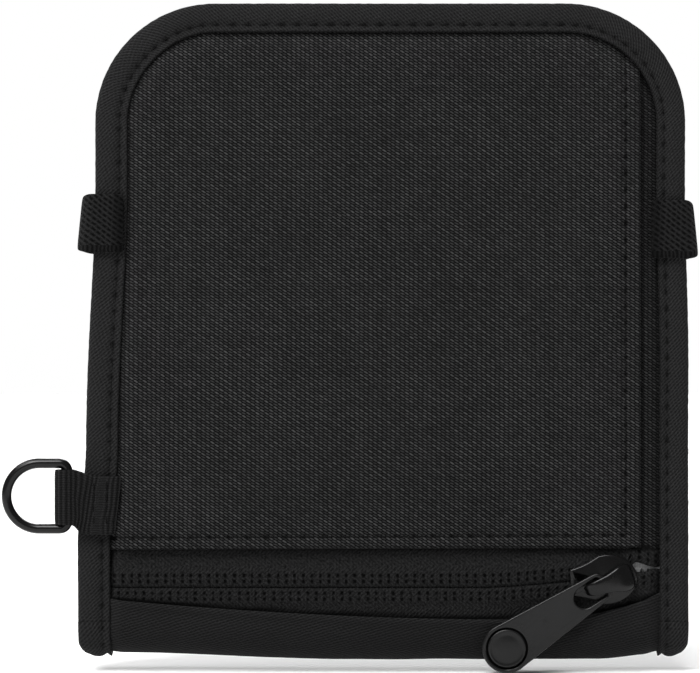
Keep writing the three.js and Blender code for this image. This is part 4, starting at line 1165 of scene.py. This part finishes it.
def webbing_loop():
    """Ribbed webbing folded round the ring's bar and sewn down over the binding."""
    low, high = box_mm("d_ring_webbing")
    lower = RIM_OUTER + WEBBING_GAP + WEBBING_THICKNESS / 2
    upper = lower + WEBBING_THICKNESS + 0.05
    loop_r = WIRE_R + 0.45 + WEBBING_THICKNESS / 2
    end_x, meet_x = high[0] + 1.0, RING_BAR_X + 4.4
    line = np.concatenate([
        [(end_x, upper - 0.75), (end_x - 0.5, upper - 0.25), (end_x - 1.4, upper), (meet_x, upper)],
        arc(RING_BAR_X - 0.35, -RING_Y, loop_r, math.radians(62), math.radians(298), 26),
        [(meet_x, lower), (end_x - 2.2, lower)],
    ])
    x, depth, at = resampled(line, 0.14)
    spread = smooth(x, RING_BAR_X + 0.5, RING_BAR_X + 5)
    middle = lerp(RING_Z - 0.2, (low[2] + high[2]) / 2 - 1.0, spread)
    flat, rhythm = bell(x, -60.1, 1.0), beat(at, WEBBING_RIB)
    rib = 0.12 * rhythm * (1 - flat) - 0.11 * bell(x, -58.8, 0.7)
    rings = strap_rings(x, -depth, lerp(5.85, 6.2, spread), WEBBING_THICKNESS / 2 + rib, middle, 32, 0.3)
    off = rings[..., 2] - middle[:, None]
    lean = 0.13 * smooth(x, RING_BAR_X + 1, RING_BAR_X + 4)[:, None] * off
    wavy = 0.16 * np.sin(off * 0.9 + at[:, None] * 0.5)
    rings[..., 0] += (lean + wavy) * smooth(x, RING_BAR_X, RING_BAR_X + 3)[:, None]
    # Painted shade in the grooves between the ribs, and an even painted shade over the flat stitched band.
    shade = np.maximum(0.375 * (1 - rhythm) * (1 - flat), 0.35 * flat)[:, None] * np.ones(rings.shape[1])
    piece = tube("ring_webbing", rings, band_uv(rings, at), WEBBING, shade=shade)
    settle(piece, "front_leaf", "d_ring_webbing")
    rise = np.linspace(low[2] + 0.9, high[2] - 1.4, 24)
    for name, seam_x in WEBBING_SEAMS:
        path = stack(seam_x, 0.02 - upper - WEBBING_THICKNESS / 2, rise)
        stitch_row(name, path, FRONT, 2.4, 2.0, 0.17, "front_leaf", lift=0.02)


# ---- slider and puller ------------------------------------------------------------------------------
SLIDER_TILT, CROWN_TILT, PULL_ANGLE = 6.0, 19.0, 33.2
SLIDER_LOW, SLIDER_HIGH = box_mm("slider_body")
SLIDER_FACE = -SLIDER_LOW[1]
CROWN_CENTRE = (47.4, 15.8)
PULL = next(j for j in frame["joints"] if j["name"] == "puller_swing")["pos_m"]
PULL_PIVOT = (PULL[0] / MM, PULL[2] / MM)
PULL_REACH, DISC_R, EYE_HALF, PULL_END = 24.9, 5.25, 3.15, 0.6
PULL_BEVEL = 0.35
HOLE_HALF, HOLE_CENTRE = 2.3, -5.2  # the puller's eye
SEAT_R, SEAT_DEPTH, BADGE_R = 4.5, 0.55, 4.05


def turned(points, degrees, centre):
    """Points drawn in a fitting's own x, y and z, turned nose up and moved into place."""
    c, s = math.cos(math.radians(degrees)), math.sin(math.radians(degrees))
    x, y, z = points[..., 0], points[..., 1], points[..., 2]
    return stack(centre[0] + x * c - z * s, y, centre[1] + x * s + z * c)


def slider_outline():
    """The plate's outline: a round nose, flanks that draw in, and a slim square tail."""
    half, tail, shoulder, nose_x, meet = 7.1, 2.95, 5.3, 0.6, math.radians(102)
    turn = np.linspace(-meet, meet, 26)
    nose = stack(nose_x + (half - nose_x) * np.cos(turn), shoulder * np.sin(turn))
    t = np.linspace(0, 1, 9)[1:, None]
    bend = np.array([-half + 3.3, tail + 0.45])
    flank = (1 - t) ** 2 * nose[-1] + 2 * t * (1 - t) * bend + t**2 * np.array([-half + 0.4, tail])
    flank = np.concatenate([flank, [(-half + 0.1, tail - 0.12), (-half, tail - 0.4)]])
    return np.concatenate([(flank * (1, -1))[::-1], nose, flank])


def inset_loop(loop, amount):
    along = loop_directions(loop)
    return loop + stack(-along[:, 1], along[:, 0]) * amount


def domed_plate(name, outline, near, far, fillet, dome, centre, tilt, nodes=()):
    """A plate with rounded edges and a slightly domed face, from a loop of x, z."""
    turn = np.linspace(0, QUARTER, 5)
    levels = [(inset_loop(outline, fillet * (1 - np.sin(a))), near + fillet * (1 - np.cos(a))) for a in turn]
    levels += [(inset_loop(outline, fillet * (1 - np.cos(a))), far - fillet * (1 - np.sin(a))) for a in turn]
    last = levels[-1][0]
    for t in np.linspace(0, 1, 8)[1:]:
        levels.append((lerp(last.mean(axis=0), last, 1 - t * 0.97), far + dome * np.sin(t * QUARTER)))
    rings = turned(np.array([stack(p[:, 0], -d, p[:, 1]) for p, d in levels]), tilt, centre)
    count, around = rings.shape[:2]
    uv = stack(np.arange(around + 1), np.arange(count)[:, None]) * 0.3
    settle(tube(name, rings, uv, METAL), "slider", *nodes)


def slider():
    centre = ((SLIDER_LOW[0] + SLIDER_HIGH[0]) / 2 - 0.05, (SLIDER_LOW[2] + SLIDER_HIGH[2]) / 2 - 0.1)
    near, under, outline = SLIDER_FACE - 0.9, -SLIDER_HIGH[1], slider_outline()
    place = (centre, SLIDER_TILT)
    domed_plate("slider_plate", outline, near, SLIDER_FACE - 0.1, 0.42, 0.35, *place, ["slider_body"])
    domed_plate("slider_under_plate", outline, under, under + 0.65, 0.2, 0.0, *place)
    nose = turned(np.array([4.5, 0, 0]), SLIDER_TILT, centre)
    post = arc(0, 0, 0.42, 0, 2 * np.pi, 17)[:-1]
    domed_plate("slider_post", post, under + 0.3, near + 0.3, 0.05, 0.0, (nose[0], nose[2]), 0)


def spline(at, values):
    """Catmull-Rom through evenly numbered rows of values."""
    i = np.clip(at.astype(int), 0, len(values) - 2)
    f = (at - i)[:, None]
    a, b, c, d = (values[np.clip(i + k, 0, len(values) - 1)] for k in (-1, 0, 1, 2))
    return 0.5 * (2 * b + (c - a) * f + (2 * a - 5 * b + 4 * c - d) * f**2 + (3 * b - a - 3 * c + d) * f**3)


def crown():
    """The arch over the puller's eye: slim at the tail, broad and low at the nose."""
    base, top = SLIDER_FACE - 0.05, -box_mm("slider_crown")[0][1]
    sections = np.array([  # x, depth, half width, half thickness
        (-4.25, base - 0.25, 0.8, 0.5), (-4.25, base + 0.5, 1.0, 0.5), (-4.05, base + 1.25, 1.15, 0.5),
        (-3.5, base + 1.95, 1.3, 0.5), (-2.7, top - 0.62, 1.42, 0.5), (-1.6, top - 0.5, 1.6, 0.5),
        (0.2, top - 0.52, 1.85, 0.52), (1.8, top - 0.75, 2.25, 0.6), (3.2, top - 1.15, 2.7, 0.7),
        (4.4, base + 1.05, 2.9, 0.75), (5.2, base + 0.35, 2.7, 0.75), (5.6, base - 0.25, 2.3, 0.7),
    ])
    x, depth, wide, thick = spline(np.linspace(0, len(sections) - 1, 60), sections).T
    along = unit(np.gradient(stack(x, depth), axis=0))
    out = stack(-along[:, 1], -along[:, 0], 0)
    rings = rings_round(stack(x, -depth, 0), out, (0, 0, 1.0), thick, wide, 28, 0.62)
    uv = stack(np.linspace(0, 3, 29), np.linspace(0, 8, len(rings))[:, None])
    rings = turned(rings, CROWN_TILT, CROWN_CENTRE)
    settle(tube("slider_bridge", rings, uv, METAL), "slider", "slider_crown")


def keyhole(round_x, radius, lean, end_x, half, corner, counts):
    """A loop that is round at one end and square with rounded corners at the other."""
    start, low, high = end_x - corner, corner - half, half - corner
    return np.concatenate([
        arc(round_x, 0, radius, QUARTER - lean, 3 * QUARTER + lean, counts[0]),
        arc(start, low, corner, -QUARTER, 0, counts[1]),
        arc(start, high, corner, 0, QUARTER, counts[1]),
    ])


def prism(name, outlines, near, far, bevel=0.0):
    """A flat solid between two depths, from loops of x, z; the first is the outside, the others are holes."""
    curve = bpy.data.curves.new(name, "CURVE")
    curve.dimensions, curve.fill_mode = "2D", "BOTH"
    curve.extrude = ((far - near) / 2 - bevel) * MM
    curve.bevel_depth, curve.bevel_resolution, curve.offset = bevel * MM, 3, -bevel * MM
    for loop in outlines:
        line = curve.splines.new("POLY")
        line.points.add(len(loop) - 1)
        for point, (x, z) in zip(line.points, loop):
            point.co = (x * MM, z * MM, 0, 1)
        line.use_cyclic_u = True
    piece = link(name, curve)
    mesh = evaluated_mesh(piece)
    bpy.data.objects.remove(piece)
    points = np.array([v.co for v in mesh.vertices])
    moved = stack(points[:, 0], -points[:, 2] - (near + far) / 2 * MM, points[:, 1])
    mesh.vertices.foreach_set("co", moved.ravel())
    piece = link(name, mesh)
    piece.modifiers.new("weld", "WELD").merge_threshold = 0.01 * MM
    apply_modifiers(piece)
    return piece


def evaluated_mesh(piece):
    return bpy.data.meshes.new_from_object(piece.evaluated_get(bpy.context.evaluated_depsgraph_get()))


def apply_modifiers(piece):
    mesh = evaluated_mesh(piece)
    piece.modifiers.clear()
    piece.data = mesh


def puller():
    """A flat pull with bevelled edges, an eye for the slider, and a round seat for its disc."""
    low, high = box_mm("zip_puller")
    near, far = -high[1], -low[1]
    lean = math.asin((DISC_R - EYE_HALF) / PULL_REACH)
    outside = keyhole(-PULL_REACH, DISC_R, lean, PULL_END, EYE_HALF, 1.9, (44, 10))
    eye = keyhole(HOLE_CENTRE, HOLE_HALF, 0, -PULL_END, HOLE_HALF, 0.7, (20, 5))
    piece = prism("pull_tab", [outside, eye], near, far, PULL_BEVEL)
    circle = arc(-PULL_REACH, 0, SEAT_R, 0, 2 * np.pi, 48)[:-1]
    cutter = prism("seat_cutter", [circle], far - SEAT_DEPTH, far + 1)
    cut = piece.modifiers.new("seat", "BOOLEAN")
    cut.operation, cut.object, cut.solver = "DIFFERENCE", cutter, "EXACT"
    apply_modifiers(piece)
    bpy.data.objects.remove(cutter)
    mesh = piece.data
    points = np.array([v.co for v in mesh.vertices]) / MM
    away = np.hypot(points[:, 0] + PULL_REACH, points[:, 2])
    # Painted shade in the sunk seat round the disc: it darkens the colour and dims the reflection there.
    set_shade(mesh, (away < SEAT_R + 0.15) & (-points[:, 1] < far - 0.1))
    mesh.vertices.foreach_set("co", (turned(points, PULL_ANGLE, PULL_PIVOT) * MM).ravel())
    mesh.materials.clear()
    mesh.materials.append(PULL_METAL)
    mesh.polygons.foreach_set("use_smooth", np.full(len(mesh.polygons), True))
    weighted = piece.modifiers.new("weighted", "WEIGHTED_NORMAL")
    weighted.weight, weighted.keep_sharp = 80, True
    settle(piece, "puller", "zip_puller")
    radius = np.append(BADGE_R - np.array([0, 0, 0.12, 0.35, 0.55, 0.7]), [2.6, 1.2, 0.08])
    level = far - 0.5 + np.array([0, 0.3, 0.46, 0.52, 0.46, 0.4, 0.52, 0.6, 0.63])
    rings = rings_round(stack(-PULL_REACH, -level, 0), (1.0, 0, 0), (0, 0, 1.0), radius, radius, 48)
    uv = stack(np.linspace(0, 10, 49), np.arange(len(rings))[:, None])
    rings = turned(rings, PULL_ANGLE, PULL_PIVOT)
    settle(tube("pull_disc", rings, uv, PULL_METAL), "puller", "puller_badge")


def dress_node(node, material):
    """Gives a hidden CAD node, which keeps its shape, a procedural material."""
    piece = frame["nodes"][node]
    piece.data.materials.clear()
    piece.data.materials.append(material)
    stand_for(piece)


def wallet():
    front_pocket()
    front_shell()
    back_shell()
    leaf_binding("front_tape", FRONT, "front_leaf", "front_binding")
    leaf_binding("back_tape", BACK, "back_leaf", "back_binding")
    spine_binding("spine_tape_left", -1, "spine_binding_left")
    spine_binding("spine_tape_right", 1, "spine_binding_right")
    spine_cloth()
    spine_lining()
    zip_tape("zip_tape_upper", 1, upper_edge, 27.0, "zipper_tape_upper")
    zip_tape("zip_tape_lower", -1, lower_edge, 7.9, "zipper_tape_lower")
    zip_coil("zip_coil_upper", 1, upper_edge, 51.5, "zipper_coil_upper")
    zip_coil("zip_coil_lower", -1, lower_edge, 57.5, "zipper_coil_lower")
    mouth_lining()
    flat_lining("back_lining_cloth", "back_lining", "back_leaf", BACK, 3.9, 5.05, 0.3, LINING)
    flat_lining("front_lining_cloth", "front_lining", "front_leaf", FRONT, 2.9, 2.3, 0.3, LINING)
    passport_sleeve()
    for node in ("card_slot_rear", "card_slot_middle", "card_slot_front"):
        card_slot(node)
    for node in ("coin_lining_front", "coin_lining_back"):
        dress_node(node, HIDDEN_LINING)
    for node in ("back_stiffener", "front_stiffener"):
        dress_node(node, PADDING)
    closure_band()
    webbing_loop()
    d_ring()
    slider()
    crown()
    puller()


# ---- stage ------------------------------------------------------------------------------------------
AMBIENT = 0.18
SUNS = (("front_sky", 2.75, (30, -12)), ("back_sky", 2.0, (-50, 14)))  # strength, tilt about X and Y
SUN_SOFTNESS = 30  # degrees
AREAS = (  # place, target, size, power
    ("key", (-0.35, -0.55, 0.6), (0, 0, 0.07), 0.35, 3.5),
    ("rim", (-0.6, -0.02, 0.95), (0, 0, 0.05), 0.5, 5),
)
FLOOR_SIZE, FLOOR_GAP, FLOOR_GREY = 6.0, 0.0003, 0.93
CAMERA_CENTRE = (-7.0, 68.3)  # x and z the picture is centred on
PICTURE_WIDTH = 148.75  # how wide the picture is at the wallet's front face
LENS, SENSOR = 150, 36


def stage():
    bpy.ops.mesh.primitive_plane_add(size=FLOOR_SIZE, location=(0, 0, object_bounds()[0][2] - FLOOR_GAP))
    floor = bpy.context.object
    floor.name = "floor"
    material = bpy.data.materials.new("floor_paper")
    material.use_nodes = True
    shader = material.node_tree.nodes["Principled BSDF"]
    shader.inputs["Base Color"].default_value = (FLOOR_GREY, FLOOR_GREY, FLOOR_GREY, 1)
    shader.inputs["Roughness"].default_value = 0.9
    floor.data.materials.append(material)
    floor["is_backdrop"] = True

    world = bpy.data.worlds.new("studio")
    world.use_nodes = True
    tree, background = world.node_tree, world.node_tree.nodes["Background"]
    seen = tree.nodes.new("ShaderNodeLightPath").outputs["Is Camera Ray"]
    strength = tree.nodes.new("ShaderNodeMapRange")
    strength.inputs["To Min"].default_value = AMBIENT
    strength.inputs["To Max"].default_value = 1.0
    tree.links.new(seen, strength.inputs["Value"])
    tree.links.new(strength.outputs["Result"], background.inputs["Strength"])
    background.inputs["Color"].default_value = (1, 1, 1, 1)
    bpy.context.scene.world = world
    bpy.context.scene.view_settings.view_transform = "Standard"

    for name, energy, tilt in SUNS:
        light = bpy.data.lights.new(name, "SUN")
        light.energy, light.angle = energy, math.radians(SUN_SOFTNESS)
        link(name, light).rotation_euler = (math.radians(tilt[0]), math.radians(tilt[1]), 0)
    for name, place, target, size, power in AREAS:
        light = bpy.data.lights.new(name, "AREA")
        light.shape, light.size, light.energy = "SQUARE", size, power
        lamp = link(name, light)
        lamp.location = place
        lamp.rotation_euler = (Vector(target) - Vector(place)).to_track_quat("-Z", "Y").to_euler()
        lamp.visible_camera = False


def camera():
    data = bpy.data.cameras.new("camera")
    data.lens, data.sensor_width = LENS, SENSOR
    data.clip_start, data.clip_end = 0.01, 50
    holder = link("camera", data)
    distance = LENS / SENSOR * PICTURE_WIDTH
    holder.location = (CAMERA_CENTRE[0] * MM, -(distance + SHELL_OUTER) * MM, CAMERA_CENTRE[1] * MM)
    holder.rotation_euler = (QUARTER, 0, 0)
    bpy.context.scene.camera = holder


wallet()
stage()
camera()
